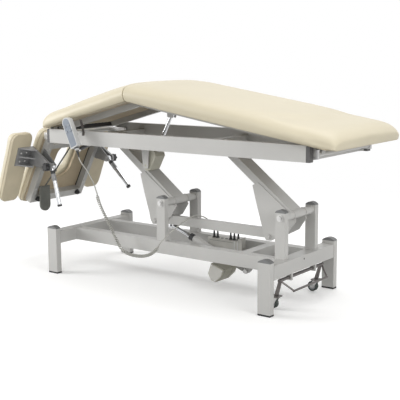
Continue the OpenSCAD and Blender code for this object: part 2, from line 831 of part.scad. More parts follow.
// Section frame of two strips with a cross bar, a peak bar and its pivots
peak_bar_x = [-195, -150];
peak_ear_t = 5;
module foot_frame() {
  z0 = board_z - strip_h;
  x1 = foot_pivot[0] + pivot_bar_d / 2;
  xr = ridge_flat[0] + strip_back;
  color(paint)
    foot_place() {
      difference() {
        union() {
          both() {
            tube_x(xr, x1, strip_y0, strip_y1, z0, board_z);
            plate_y([[x1 - 2 * pivot_bar_d, z0], [x1, z0], [x1, foot_pivot[1]], [x1 - pivot_bar_d, foot_pivot[1]]],
              strip_y0, strip_y1);
            union() {
              bar_y(ridge_flat, 2 * knuckle_r, strip_y1, strip_y1 + knuckle_t);
              block([ridge_flat[0], strip_y1, ridge_flat[1] - knuckle_r],
                [xr + 2 * knuckle_r, strip_y1 + knuckle_t, ridge_flat[1] + knuckle_r]);
            }
          }
          tube_y(peak_bar_x[0], peak_bar_x[1], -strip_y0, strip_y0, z0, board_z);
          for (s = [-1, 1])
            translate([0, peak_y + s * (peak_eye_w / 2 + gap + peak_ear_t / 2), 0])
              plate_y([[peak_bar_x[0], z0], [peak_bar_x[1], z0], add(peak_f_flat, [ear_r, -ear_r]),
                add(peak_f_flat, [-ear_r, -ear_r])], -peak_ear_t / 2, peak_ear_t / 2);
          bar_y(foot_pivot, pivot_bar_d, -hinge_ear_y0 + gap, hinge_ear_y0 - gap);
          bar_y(foot_pivot, journal_d, -hinge_ear_y1, hinge_ear_y1);
        }
        bar_y(ridge_flat, ridge_pin_d, strip_y0, upper_in);
        bar_y(ridge_flat, ridge_pin_d, -upper_in, -strip_y0);
      }
      both() bar_y(ridge_flat, ridge_pin_d, strip_y0 - knuckle_t - washer_t, strip_y1 + knuckle_t);
    }
}

module back_cushion() {
  color(cream)
    back_place()
      difference() {
        cushion(back_x0, ridge_flat[0] - ridge_gap, half_w, half_w, couch_t, board_z, cushion_roll, 0, cushion_corner);
        block([back_board_x0, -board_y, board_z - over], [ridge_flat[0] + over, board_y, board_z + board_t]);
      }
}
module back_board() {
  color(tan)
    back_place()
      block([back_board_x0, -board_y, board_z], [ridge_flat[0] - ridge_gap, board_y, board_z + board_t]);
}
back_bar_w = 25;
back_bar_h = 22;
module back_frame() {
  z0 = board_z - strip_h;
  x0 = back_x0;
  xr = ridge_flat[0] - strip_back;
  color(paint)
    back_place()
      difference() {
        union() {
          both() {
            tube_x(x0 + back_bar_w, xr, strip_y0, strip_y1, z0, board_z);
            bar_y(ridge_flat, 2 * knuckle_r, strip_y0 - knuckle_t, strip_y0);
            block([xr - 2 * knuckle_r, strip_y0 - knuckle_t, ridge_flat[1] - knuckle_r],
              [ridge_flat[0], strip_y0, ridge_flat[1] + knuckle_r]);
          }
          tube_y(x0, x0 + back_bar_w, -hinge_ear_y1, hinge_ear_y1, board_z - back_bar_h, board_z);
        }
        bar_y(ridge_flat, ridge_pin_d + 2 * run, 0, strip_y0 + over);
        bar_y(ridge_flat, ridge_pin_d + 2 * run, -strip_y0 - over, 0);
      }
}

// Nylon glides that run on the head hinge plates
glide_len = 22;
module back_glides() {
  color([0.85, 0.85, 0.82])
    back_place()
      both() block([back_x0 + over, hinge_ear_y0, board_z - strip_h],
        [back_x0 + over + glide_len, hinge_ear_y1, board_z - back_bar_h]);
}

// Head section hangs about its hinge
module head_place() { about(head_pivot, -head_angle) children(); }
head_x1 = head_pivot[0] - 7;
head_x0 = head_pivot[0] - head_len;
head_half = head_w / 2;
hole_w = 130;
hole_len = 200;
hole_x = head_pivot[0] - 211;
hole_board_margin = 10;
head_roll = 52;

// Straight-sided oval through the head section
function oval(d, reach) = [for (a = [-90:15:270]) [(a <= 90 ? reach : -reach) + d / 2 * cos(a), d / 2 * sin(a)]];
module face_hole(grow, z0, z1) {
  translate([hole_x, 0, z0]) linear_extrude(z1 - z0) polygon(oval(hole_w + 2 * grow, (hole_len - hole_w) / 2));
}
module head_cushion() {
  color(cream)
    head_place()
      difference() {
        cushion(head_x0, head_x1, head_half - over, head_half, head_t, board_z, head_roll, head_roll, cushion_corner);
        block([head_x0 + board_inset, -head_half + board_inset, board_z - over],
          [head_x1 - board_inset, head_half - board_inset, board_z + board_t]);
        face_hole(0, board_z - over, board_z + head_t + over);
      }
}
module head_board() {
  color(tan)
    head_place()
      difference() {
        block([head_x0 + board_inset, -head_half + board_inset, board_z],
          [head_x1 - board_inset, head_half - board_inset, board_z + board_t]);
        face_hole(hole_board_margin, board_z - over, board_z + board_t + over);
      }
}

// Channels, cross bars and hinge bar of the head section
channel_y = [170, 200];
channel_h = 40;
head_bar_w = 40;
head_bar_t = 26;
spring_bar = [-1010, -985];
lever_p_flat = [-1105, 675];
lever_lug_t = 6;
lever_pin_d = 8;
module head_frame() {
  z0 = board_z - channel_h;
  xe = head_x0 + 25;
  color(paint)
    head_place()
      difference() {
        union() {
          both() {
            tube_x(xe, head_pivot[0] - 6, channel_y[0], channel_y[1], z0, board_z);
            block([head_pivot[0] - pivot_bar_d / 2, channel_y[0], z0 - 2],
              [head_pivot[0] - 6, channel_y[1], z0 + tube_wall]);
          }
          tube_y(xe, xe + head_bar_w, -channel_y[0], channel_y[0], z0, board_z);
          tube_y(spring_bar[0], spring_bar[1], -channel_y[0], channel_y[0], board_z - head_bar_t, board_z);
          for (s = [-1, 1])
            translate([0, s * (spring_eye_w / 2 + gap + spring_ear_t / 2), 0])
              plate_y([[spring_bar[0], board_z - head_bar_t], [spring_bar[1], board_z - head_bar_t],
                add(spring_e_flat, [10, -8]), add(spring_e_flat, [-10, -8])], -spring_ear_t / 2, spring_ear_t / 2);
          plate_y([[lever_p_flat[0] - 15, z0 + 14], [lever_p_flat[0] + 15, z0 + 14],
            add(lever_p_flat, [10, -8]), add(lever_p_flat, [-10, -8])],
            -channel_y[0], -channel_y[0] + lever_lug_t);
          bar_y(lever_p_flat, lever_pin_d, -channel_y[0], -channel_y[0] + lever_lug_t + 21);
          bar_y(head_pivot, pivot_bar_d, -hinge_ear_y0 + gap, hinge_ear_y0 - gap);
          bar_y(head_pivot, journal_d, -hinge_ear_y1, hinge_ear_y1);
        }
      }
}

// Clamp plates with the pins that the armrests turn on
arm_p_flat = [-1053, 646];
clamp_t = 8;
arm_pin_d = 10;
arm_pin_end = 268;
module arm_clamps() {
  color(zinc)
    head_place()
      both()
        union() {
          plate_y([[arm_p_flat[0] - 47, board_z - 20], [arm_p_flat[0] + 47, board_z - 20],
            add(arm_p_flat, [14, -12]), add(arm_p_flat, [-14, -12])], channel_y[1], channel_y[1] + clamp_t);
          bar_y(arm_p_flat, arm_pin_d, channel_y[1], arm_pin_end);
        }
}

// Gas spring that lifts the head section
spring_e = add(head_pivot, turn(sub(spring_e_flat, head_pivot), -head_angle));
spring_v = sub(spring_e, spring_u);
spring_tilt = atan2(spring_v[1], -spring_v[0]);
spring_len = norm(spring_v);
spring_d = 22;
spring_start = upper_ear_r + 2;
spring_rod_d = 10;
spring_rod_show = 21.7;
spring_tube_end = spring_len - spring_rod_show;
module gas_spring_cylinder() {
  color(black)
    along(spring_u, spring_tilt, 0)
      difference() {
        union() {
          translate([-spring_start, 0, 0]) rotate([0, -90, 0]) cylinder(d = spring_d, h = spring_tube_end - spring_start);
          bar_y([0, 0], spring_d * 0.9, -spring_eye_w / 2, spring_eye_w / 2);
          block([-spring_d, -spring_eye_w / 2, -spring_eye_w / 2], [0, spring_eye_w / 2, spring_eye_w / 2]);
        }
        bar_y([0, 0], spring_pin_d + 2 * run, -spring_eye_w, spring_eye_w);
        translate([-spring_d - ear_r, 0, 0]) rotate([0, -90, 0])
          cylinder(d = spring_rod_d + 2 * run, h = spring_tube_end);
      }
}
module gas_spring_rod() {
  color(chrome)
    along(spring_u, spring_tilt, 0)
      difference() {
        union() {
          translate([-spring_rod_s0, 0, 0]) rotate([0, -90, 0])
            cylinder(d = spring_rod_d, h = spring_len - spring_rod_s0);
          bar_y([-spring_len, 0], spring_d * 0.8, -spring_eye_w / 2, spring_eye_w / 2);
        }
        bar_y([-spring_len, 0], spring_pin_d, -spring_eye_w, spring_eye_w);
      }
}
spring_rod_s0 = 60;

// Release lever of the head section with its paddle
lever_y = -154;
lever_rod_d = 8;
lever_rel = [[-7, -104], [-327, -22]];
lever_hub_d = 18;
paddle_len = 131;
paddle_w = 70;
paddle_t = 12;
paddle_tilt = 27.7;
module release_lever() {
  a = add(head_pivot, lever_rel[0]);
  b = add(head_pivot, lever_rel[1]);
  color(cap_grey)
    head_place()
      difference() {
        union() {
          bar_xz(a, b, lever_y, lever_rod_d);
          bar_y(lever_p_flat, lever_hub_d, lever_y - lever_hub_d / 2, lever_y + lever_hub_d / 2);
          translate([b[0], lever_y, b[1]]) rotate([0, -paddle_tilt, 0]) {
            block([-paddle_len + paddle_w / 2, -paddle_w / 2, -paddle_t / 2], [8, paddle_w / 2, paddle_t / 2]);
            translate([-paddle_len + paddle_w / 2, 0, -paddle_t / 2]) cylinder(d = paddle_w, h = paddle_t);
          }
        }
        bar_y(lever_p_flat, lever_pin_d + 2 * run, lever_y - lever_hub_d, lever_y + lever_hub_d);
      }
}

// Armrest pieces, drawn in a frame whose X runs up the pad from the pin
arm_p = add(head_pivot, turn(sub(arm_p_flat, head_pivot), -head_angle));
pad_angle = 68.7;
near_tube_angle = 14;
far_tube_angle = 45;
arm_tube_d = 22;
arm_tube_len = 216;
arm_eye_d = 32;
arm_eye_y = [208.4, 231.6];
bracket_y = [232, 246];
bracket_reach = 153;
bracket_plate = [-55, 50];
bracket_plate_y1 = 338;
bracket_plate_t = 6;
boss_d = 44;
pad_back = 271;
pad_x = [-pad_back, armrest_len - pad_back];
pad_y = 316;
pad_half = [61, 70];
pad_roll = 44;
knob_d = 32;
knob_lobe_d = 13;
knob_t = 26;
knob_lobes = 6;

module arm_tube(angle) {
  color(chrome)
    translate([arm_p[0], 0, arm_p[1]]) rotate([0, -angle, 0])
      difference() {
        union() {
          translate([0, mid(arm_eye_y[0], arm_eye_y[1]), -arm_tube_len])
            difference() {
              cylinder(d = arm_tube_d, h = arm_tube_len);
              translate([0, 0, -over]) cylinder(d = arm_tube_d - 2 * tube_wall, h = arm_tube_len - arm_eye_d);
            }
          bar_y([0, 0], arm_eye_d, arm_eye_y[0], arm_eye_y[1]);
        }
        bar_y([0, 0], arm_pin_d + 2 * run, arm_eye_y[0] - over, arm_eye_y[1] + over);
      }
}
module arm_bracket() {
  z1 = bracket_reach;
  color(zinc)
    translate([arm_p[0], 0, arm_p[1]]) rotate([0, -pad_angle, 0])
      difference() {
        union() {
          plate_y([[bracket_plate[0], z1], [bracket_plate[1], z1], [boss_d / 2, boss_d / 4],
            [boss_d / 4, -boss_d / 3], [-boss_d / 4, -boss_d / 3], [-boss_d / 2, boss_d / 4]],
            bracket_y[0], bracket_y[1]);
          bar_y([0, 0], boss_d, bracket_y[0], bracket_y[1]);
          block([bracket_plate[0], bracket_y[0], z1 - bracket_plate_t], [bracket_plate[1], bracket_plate_y1, z1]);
          for (x = [bracket_plate[0], mid(bracket_plate[0], bracket_plate[1]) - 4, bracket_plate[1] - 8])
            translate([x, 0, 0]) rotate([90, 0, 90]) linear_extrude(8)
              polygon([[bracket_y[1] - over, z1 - 50], [bracket_plate_y1 - 14, z1 - 5], [bracket_y[1] - over, z1 - 5]]);
        }
        bar_y([0, 0], arm_pin_d + 2 * run, bracket_y[0] - over, bracket_y[1] + over);
      }
}
module arm_pad() {
  color(cream)
    translate([arm_p[0], pad_y, arm_p[1]]) rotate([0, -pad_angle, 0])
      cushion(pad_x[0], pad_x[1], pad_half[0], pad_half[1], armrest_t, bracket_reach, pad_roll, pad_roll, cushion_corner);
}
module star_knob() {
  y0 = bracket_y[1] + 1;
  color(black)
    translate([arm_p[0], 0, arm_p[1]])
      difference() {
        union() {
          bar_y([0, 0], knob_d, y0, y0 + knob_t);
          for (i = [0:knob_lobes - 1])
            rotate([0, i * 360 / knob_lobes, 0]) bar_y([knob_d / 2, 0], knob_lobe_d, y0 + 4, y0 + knob_t - 2);
        }
        bar_y([0, 0], arm_pin_d + 2 * run, y0 - over, arm_pin_end + over);
      }
}
module near() { mirror([0, 1, 0]) children(); }
module near_arm_tube() { near() arm_tube(near_tube_angle); }
module far_arm_tube() { arm_tube(far_tube_angle); }
module near_arm_bracket() { near() arm_bracket(); }
module far_arm_bracket() { arm_bracket(); }
module near_arm_pad() { near() arm_pad(); }
module far_arm_pad() { arm_pad(); }
module near_star_knob() { near() star_knob(); }
module far_star_knob() { star_knob(); }

// Caster lift bar under the foot beam, with its pedal bail and caster plates
lift_bar_p = [511, 140];
lift_bar_d = 16;
lift_bar_y = 196;
bail_d = 9;
bail_reach = [51, -48];
bail_in = 38;
caster_y = 180;
caster_stem_x = 488;
caster_axle_x = 470;
caster_axle_z = wheel_d / 2 + 4;
caster_plate_z = 60;
caster_plate_t = 6;
caster_plate_w = 40;
stem_d = 10;
fork_t = 3;
axle_d = 8;
hanger_y = 100;

// Hanger blocks of the caster bar, part of the end frames
module bar_hangers() {
  r = lift_bar_d / 2 + 6;
  both()
    difference() {
      plate_y([[lift_bar_p[0] - r, beam_z], [lift_bar_p[0] + r, beam_z], add(lift_bar_p, [r, -r]),
        add(lift_bar_p, [-r, -r])], hanger_y, hanger_y + 12);
      bar_y(lift_bar_p, lift_bar_d + 2 * run, hanger_y - over, hanger_y + 12 + over);
    }
}
// Bail point: k = 0 at the bar, 1 at the outer corner
function bail_p(k) = [lift_bar_p[0] + k * bail_reach[0], lift_bar_y - 8 - k * bail_in, lift_bar_p[1] + k * bail_reach[1]];
module rod3(p, q, d) {
  v = q - p;
  translate(p) rotate([0, acos(v[2] / norm(v)), atan2(v[1], v[0])]) cylinder(d = d, h = norm(v));
}
module caster_lift_bar() {
  color(zinc)
    union() {
      bar_y(lift_bar_p, lift_bar_d, -lift_bar_y, lift_bar_y);
      both() {
        rod3(bail_p(0), bail_p(1), bail_d);
        difference() {
          union() {
            plate_y([add(lift_bar_p, [-8, 6]), add(lift_bar_p, [8, 6]),
              [caster_stem_x + 8, caster_plate_z + over], [caster_stem_x - 12, caster_plate_z + over]],
              caster_y - 3, caster_y + 3);
            block([caster_stem_x - caster_plate_w / 2, caster_y - caster_plate_w / 2, caster_plate_z],
              [caster_stem_x + caster_plate_w / 2, caster_y + caster_plate_w / 2, caster_plate_z + caster_plate_t]);
          }
          translate([caster_stem_x, caster_y, caster_plate_z - over]) cylinder(d = stem_d + 2 * run, h = caster_plate_t + over);
        }
      }
      bar_y([bail_p(1)[0], bail_p(1)[2]], bail_d * bail_grip_share, -bail_p(1)[1] - bail_d / 2, bail_p(1)[1] + bail_d / 2);
    }
}
bail_grip_share = 1.15;
module caster_fork() {
  r = wheel_w / 2 + 1 + fork_t;
  top = caster_plate_z - gap;
  color(zinc)
    difference() {
      union() {
        translate([caster_stem_x, caster_y, top - fork_t]) cylinder(d = 2 * r + 4, h = fork_t);
        translate([caster_stem_x, caster_y, top - over]) cylinder(d = stem_d, h = caster_plate_t);
        for (s = [-1, 1])
          translate([0, caster_y + s * (r - fork_t / 2), 0])
            plate_y([[caster_stem_x - 12, top], [caster_stem_x + 12, top],
              [caster_axle_x + 8, caster_axle_z - 7], [caster_axle_x - 8, caster_axle_z - 7]], -fork_t / 2, fork_t / 2);
        bar_y([caster_axle_x, caster_axle_z], axle_d, caster_y - r - 2, caster_y + r + 2);
      }
    }
}
module caster_wheel() {
  color([0.2, 0.24, 0.22])
    difference() {
      bar_y([caster_axle_x, caster_axle_z], wheel_d, caster_y - wheel_w / 2, caster_y + wheel_w / 2);
      bar_y([caster_axle_x, caster_axle_z], axle_d + 2 * run, 0, caster_y + wheel_w);
    }
}
module near_caster_fork() { near() caster_fork(); }
module far_caster_fork() { caster_fork(); }
module near_caster_wheel() { near() caster_wheel(); }
module far_caster_wheel() { caster_wheel(); }

// Routes of the cords, chosen by hand
lead_route = [[-580, -346, 672], [-575, -346, 658], [-564, -348, 630], [-547, -345, 604], [-524, -336, 573],
  [-510, -325, 537], [-503, -312, 503], [-502, -302, 475], [-502, -294, 456]];
curl_route = [[-502, -294, 456], [-508, -286, 436], [-510, -266, 390], [-492, -250, 335], [-468, -238, 280],
  [-446, -230, 228], [-420, -222, 180], [-386, -220, 156], [-330, -220, 148], [-272, -220, 152],
  [-222, -220, 168], [-184, -220, 196], [-166, -218, 222]];
box_route = [[-166, -218, 222], [-158, -212, 236], [-146, -190, 258], [-130, -150, 288], [-112, -105, 318],
  [-96, -60, 340], [-82, -20, 346], [-66, 20, 334], [-50, 50, 306], [-36, 62, 282], [-36, 62, 263.6]];
cord_d = 5.5;
curl_d = 18;
curls = 58;
curl_sides = 6;
curl_rings = 8;
cord_sides = 8;

// Point on a smooth curve through a route, u from 0 to 1
function route_at(r, u) =
  let (n = len(r) - 1, f = min(max(u, 0), 1) * n, i = min(floor(f), n - 1), t = f - i,
    a = r[max(i - 1, 0)], b = r[i], c = r[i + 1], d = r[min(i + 2, n)])
  0.5 * (2 * b + (c - a) * t + (2 * a - 5 * b + 4 * c - d) * t * t + (3 * b - a - 3 * c + d) * t * t * t);
function unit(v) = v / norm(v);
function ring_at(p, t, ref, d, n) =
  let (a = unit(ref - (ref * t) * t), b = cross(t, a))
  [for (k = [0:n - 1]) p + d / 2 * (cos(360 * k / n) * a + sin(360 * k / n) * b)];

// Plain cord tube through a list of points
module cord_tube(pts, d, n) {
  m = len(pts);
  rings = [for (i = [0:m - 1])
    each ring_at(pts[i], unit(pts[min(i + 1, m - 1)] - pts[max(i - 1, 0)]), [0, 0, 1] + [0.3, 0, 0], d, n)];
  polyhedron(rings, skin_faces(m, n));
}
function samples(r, m) = [for (i = [0:m]) route_at(r, i / m)];
module handset_lead() { color(cord_grey) cord_tube(samples(lead_route, 18), cord_d, cord_sides); }
module box_lead() { color(cord_grey) cord_tube(samples(box_route, 26), cord_d, cord_sides); }

// Curly cord: centre points by equal steps along its route, then the turns round them
fine = 240;
curl_fine = samples(curl_route, fine);
curl_sum = [for (i = 0, s = 0; i <= fine; s = s + (i < fine ? norm(curl_fine[i + 1] - curl_fine[i]) : 0), i = i + 1) s];
curl_route_len = curl_sum[fine];
curl_steps = curls * curl_rings;
function curl_u(s) = let (i = min(len([for (x = curl_sum) if (x <= s) 1]) - 1, fine - 1))
  (i + (s - curl_sum[i]) / (curl_sum[i + 1] - curl_sum[i])) / fine;
curl_r = (curl_d - cord_d) / 2;
curl_end = curl_d * 0.9;
function curl_axis(k) = route_at(curl_route, curl_u(curl_route_len * k / curl_steps));
function curl_ramp(s) = s <= cord_d ? 0 : min(1, (s - cord_d) / curl_end);
curl_axis_pts = [for (k = [0:curl_steps]) curl_axis(k)];
curl_tan = [for (k = [0:curl_steps])
  unit(curl_axis_pts[min(k + 1, curl_steps)] - curl_axis_pts[max(k - 1, 0)])];
function curl_radial(k) =
  let (t = curl_tan[k], a = unit(cross(t, [0, 1, 0])), b = cross(t, a), w = 360 * k / curl_rings)
  cos(w) * a + sin(w) * b;
curl_pts = [for (k = [0:curl_steps])
  let (s = curl_route_len * k / curl_steps, m = min(curl_ramp(s), curl_ramp(curl_route_len - s)))
  curl_axis_pts[k] + curl_r * m * curl_radial(k)];
module curly_cord() {
  rings = [for (k = [0:curl_steps])
    each ring_at(curl_pts[k], unit(curl_pts[min(k + 1, curl_steps)] - curl_pts[max(k - 1, 0)]),
      k == 0 || k == curl_steps ? [0, 1, 0] : curl_radial(k), cord_d, curl_sides)];
  color(cord_grey) polyhedron(rings, skin_faces(curl_steps + 1, curl_sides));
}
curl_gap = min([for (k = [0:curl_steps], j = [k + 5:min(k + 2 * curl_rings, curl_steps)]) norm(curl_pts[k] - curl_pts[j])]) - cord_d;
echo(curl_gap = curl_gap, curl_route_len = curl_route_len);

// The whole part is shifted so that its box is centred over the origin
pad_top_x = [for (s = roll_shares)
  turn([pad_x[0] + s * pad_roll, bracket_reach + armrest_t * roll_height(s)], -pad_angle)[0] + arm_p[0]];
head_top_x = [for (s = roll_shares)
  turn(sub([head_x0 + s * head_roll, board_z + head_t * roll_height(s)], head_pivot), -head_angle)[0] + head_pivot[0]];
foot_top_x = [for (s = roll_shares)
  turn(sub([foot_x1 - s * cushion_roll, board_z + couch_t * roll_height(s)], foot_pivot), foot_angle)[0] + foot_pivot[0]];
x_min = min(concat(pad_top_x, head_top_x));
x_max = max(foot_top_x);
shift = -mid(x_min, x_max);
echo(shift = shift, x_min = x_min, x_max = x_max, arm_p = arm_p, peak_a = peak_a, spring_e = spring_e, head_u = head_u, foot_u = foot_u);
module placed() { translate([shift, 0, 0]) children(); }

placed() base_end_frames();
placed() base_rails();
placed() pivot_posts();
placed() dome_caps();
placed() rubber_feet();
placed() pivot_shafts();
placed() control_box();
placed() box_leads();
placed() left_lift_arm();
placed() left_gusset();
placed() right_lift_arm();
placed() right_gusset();
placed() tie_bar();
placed() lift_actuator_tube();
placed() lift_motor_housing();
placed() lift_actuator_rod();
placed() upper_side_rails();
placed() upper_cross_tubes();
placed() rail_end_caps();
placed() hinge_brackets();
placed() upper_pivot_pins();
placed() peak_hanger();
placed() handset_case();
placed() button_lift_up();
placed() button_lift_down();
placed() button_peak_up();
placed() button_peak_down();
placed() peak_actuator_tube();
placed() peak_motor_housing();
placed() peak_actuator_rod();
placed() foot_cushion();
placed() foot_board();
placed() foot_frame();
placed() back_cushion();
placed() back_board();
placed() back_frame();
placed() back_glides();
placed() head_cushion();
placed() head_board();
placed() head_frame();
placed() arm_clamps();
placed() gas_spring_cylinder();
placed() gas_spring_rod();
placed() release_lever();
placed() near_arm_tube();
placed() near_arm_bracket();
placed() near_arm_pad();
placed() near_star_knob();
placed() far_arm_tube();
placed() far_arm_bracket();
placed() far_arm_pad();
placed() far_star_knob();
placed() caster_lift_bar();
placed() near_caster_fork();
placed() far_caster_fork();
placed() near_caster_wheel();
placed() far_caster_wheel();
placed() handset_lead();
placed() curly_cord();
placed() box_lead();
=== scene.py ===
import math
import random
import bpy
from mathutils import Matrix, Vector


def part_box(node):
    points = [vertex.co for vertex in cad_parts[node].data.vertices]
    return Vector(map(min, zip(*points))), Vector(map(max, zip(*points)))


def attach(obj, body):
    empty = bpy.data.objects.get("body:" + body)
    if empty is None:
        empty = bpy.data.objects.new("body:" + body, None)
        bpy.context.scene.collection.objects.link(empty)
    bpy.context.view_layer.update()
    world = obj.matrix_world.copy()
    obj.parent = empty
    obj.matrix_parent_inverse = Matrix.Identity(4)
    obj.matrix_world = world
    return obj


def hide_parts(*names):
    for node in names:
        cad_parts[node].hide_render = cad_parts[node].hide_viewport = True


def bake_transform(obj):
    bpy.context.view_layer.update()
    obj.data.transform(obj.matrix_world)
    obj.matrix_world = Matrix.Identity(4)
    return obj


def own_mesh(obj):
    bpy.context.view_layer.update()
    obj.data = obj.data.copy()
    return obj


bl_info = {
    "name": "Treatment couch looks",
    "version": (1, 1, 0),
    "blender": (4, 2, 0),
    "location": "View3D > Sidebar > Couch",
    "description": "Dresses the packed treatment couch with upholstery, cords, fittings and procedural finishes",
    "category": "Object",
}

from itertools import count

import bmesh
import bpy
from bpy.props import FloatProperty, FloatVectorProperty, IntProperty, PointerProperty
from bpy.types import Operator, Panel, PropertyGroup
from mathutils import Matrix, Vector, noise

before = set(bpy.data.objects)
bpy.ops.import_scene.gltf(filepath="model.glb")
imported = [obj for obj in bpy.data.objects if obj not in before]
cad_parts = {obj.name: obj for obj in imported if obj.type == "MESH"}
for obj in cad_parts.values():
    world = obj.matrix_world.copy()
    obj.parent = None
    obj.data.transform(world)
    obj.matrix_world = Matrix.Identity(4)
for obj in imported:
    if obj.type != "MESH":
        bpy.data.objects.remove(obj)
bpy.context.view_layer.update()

MM = 0.001
# From the part's own X to the frame's, in millimetres
SHIFT_X = 178.809

# Camera in the part's own frame, in millimetres and degrees
CAMERA_AT = (2503.2, -3391.7, 1142.3)
CAMERA_LOOKS_AT = (-77.8, 0.0, 423.1)
CAMERA_ROLL = -0.47

# Joint places and rest angles shared by the dressed pieces
FOOT_PIVOT = (715.0, 725.0)
RIDGE_FLAT = (-297.0, 753.0)
HEAD_PIVOT = (-905.0, 725.0)
BOARD_Z, BOARD_T = 767.0, 15.0
FOOT_ANGLE = 8.9
BACK_ANGLE = 15.0
HEAD_ANGLE = 62.3
RIGHT, BACK, UP = (Vector(v) for v in ((1, 0, 0), (0, 1, 0), (0, 0, 1)))
DOWN = -UP


def P(x, y, z):
    """Point of the part's own frame in the row frame."""
    return Vector(((x + SHIFT_X) * MM, y * MM, z * MM))


def about_y(point, degrees):
    """Turn about a Y axis through (x, z), in the row frame."""
    centre = P(point[0], 0, point[1])
    turn = Matrix.Rotation(math.radians(degrees), 4, "Y")
    return Matrix.Translation(centre) @ turn @ Matrix.Translation(-centre)


M_FOOT = about_y(FOOT_PIVOT, FOOT_ANGLE)
M_BACK = M_FOOT @ about_y(RIDGE_FLAT, -FOOT_ANGLE - BACK_ANGLE)
M_HEAD = about_y(HEAD_PIVOT, -HEAD_ANGLE)
FLAT = Matrix.Translation((SHIFT_X * MM, 0, 0))

# Hand control, with its hook, in the part's own millimetres
HANDSET = (-615.8, -331.8, 754.1)
HANDSET_TILT = -24.3
HANDSET_W, HANDSET_LEN, HANDSET_T = 54, 172, 27
BUTTONS = ((-13, 44), (13, 44), (-13, 16), (13, 16))
BUTTON_HOLE = 7.3
BUTTON_BODIES = ("lift_up_button", "lift_down_button", "peak_up_button", "peak_down_button")
HOOK = ((-594, -303, 824), (-588, -303, 806), (-580, -303, 782), (-574, -304, 762), (-570, -309, 750),
        (-567, -315, 746))
# Where the hand control's clip runs over the cushion's side
CLIP_X = (-652, -580)
CLIP_FACE = -331.2

# Head section and the end bar of the middle section; a turned profile is (distance along its axis, radius)
HEAD_CHANNEL_X = (-1345, -911)
HEAD_CHANNEL_Y = 170
HEAD_BUFFER = [(0, 15), (5, 15), (7, 13), (15, 12), (19, 9.5), (20, 6)]
BACK_BAR = (-903, -878, 745)

# Armrests: the pin, the pad's tilt, the casting's plate, and the rings on a stay with place, finish and profile
ARM_PIN = (-903.85, 557.2)
ARM_ANGLE = 68.7
ARM_PLATE_Z = 147
ARM_TUBE_Y = 220
STAY_RINGS = {"clamp": (-23, "black", [(0, 11.6), (2, 12.7), (16, 12.7), (18, 11.8)]),
              "sleeve": (-41, "cast", [(0, 12.5), (36, 12.5), (38, 11.6)]),
              "plug": (-216, "black", [(-9, 11.5), (-8, 12.3), (0, 12.3), (2.5, 11), (3.2, 8)])}

# Actuators, casters and control box
LIFT_MOTOR_AT, LIFT_TILT = (200, 12, 100), 20.18
PEAK_MOTOR_AT, PEAK_TILT = (-299, -108.5, 598), 117.97
LIFT_MOTOR = ((-53, 0), (-53, -31), (-77, -79), (-106, -79), (-130, -55), (-130, 0))
LIFT_COLLAR = [(-26, 17.4), (-25, 18.6), (-2, 18.6), (0, 17), (2, 13), (2.4, 10.6)]
PEAK_COLLAR = [(-9, 17.05), (-8, 17.3), (-2, 17.3), (-0.5, 16.8)]
WHEEL_HUB = [(-0.6, 17), (0.5, 17), (0.9, 15.5), (0.3, 13), (0.3, 8), (1.2, 7), (1.3, 5)]
CONTROL_BOX = (-45, 127, 34, 98, 184, 229)
PLUG_X, PLUG_Y = (-36, -14, 66, 88, 112), 62
PLUG_COLLAR = [(0, 10), (4, 10), (5, 9)]
SPARE_SOCKETS = (14, 40)
BOX_SOCKET = [(0, 8), (2.2, 8), (2.6, 7)]
BEAM_HOLE = (531.5, -12, 209)


# Settings that a user would change
def length(name, description, default, low=0.0, high=0.5):
    return FloatProperty(name=name, description=description, default=default, min=low, max=high, unit="LENGTH",
                         precision=4)


def colour(name, description, default):
    return FloatVectorProperty(name=name, description=description, default=default, size=3, min=0.0, max=1.0,
                               subtype="COLOR")


def power(name, description, default):
    return FloatProperty(name=name, description=description, default=default, min=0.0, max=1000.0, unit="POWER")


class CouchSizes(PropertyGroup):
    """Sizes of the soft trim and the small details."""
    corner: length("Corner radius", "Radius of the cushion corners seen from above", 0.034)
    end_roll: length("End roll", "Length over which the foot and middle cushions roll down at their free ends", 0.095)
    head_roll: length("Head roll", "Length over which the head cushion rolls down at its ends", 0.052)
    pad_roll: length("Armrest roll", "Length over which an armrest pad rolls down at its ends", 0.044)
    swell: length("Swell limit", "Furthest that a cushion skin may puff out", 0.005)
    welt: length("Welt radius", "Radius of the folded welt along the cushion sides", 0.0015)
    stitch: length("Stitch length", "Pitch of the stitches beside the welt", 0.007, 0.002)
    turned_edge: length("Turned edge", "Width of the cover that is turned under a board", 0.034)
    bead: length("Weld bead", "Radius of the weld beads on the frames", 0.0022)
    curls: IntProperty(name="Curls", description="Number of turns in the curly cord", default=58, min=4, max=200)


class CouchColours(PropertyGroup):
    """Main colours; small metal and rubber parts keep their own."""
    leather: colour("Leatherette", "Cover of the cushions and armrest pads", (0.625, 0.565, 0.42))
    # The turned leatherette is the cover made darker: painted shade on the lower sides and under the boards
    wrap: colour("Turned leatherette", "Cover below the welt and under the boards", (0.60, 0.53, 0.385))
    cover: colour("Dust cover", "Fabric on the underside of the boards", (0.52, 0.43, 0.30))
    paint: colour("Frame paint", "Powder coat of the steel frames", (0.485, 0.48, 0.463))
    cast: colour("Castings", "Armrest castings and clamps", (0.275, 0.275, 0.275))
    cap: colour("Caps", "Dark plastic caps on posts and rails", (0.17, 0.172, 0.172))
    motor: colour("Motor housings", "Mouldings of the two actuators", (0.47, 0.455, 0.375))
    light: colour("Control box", "Moulding of the control box", (0.50, 0.49, 0.455))
    shell: colour("Hand control", "Case of the hand control", (0.57, 0.575, 0.57))
    membrane: colour("Hand control face", "Membrane and buttons of the hand control", (0.205, 0.235, 0.28))
    cord: colour("Cords", "Jacket of the cords", (0.44, 0.435, 0.40))
    black: colour("Black plastic", "Knobs, collars, plugs and gaskets", (0.03, 0.03, 0.032))


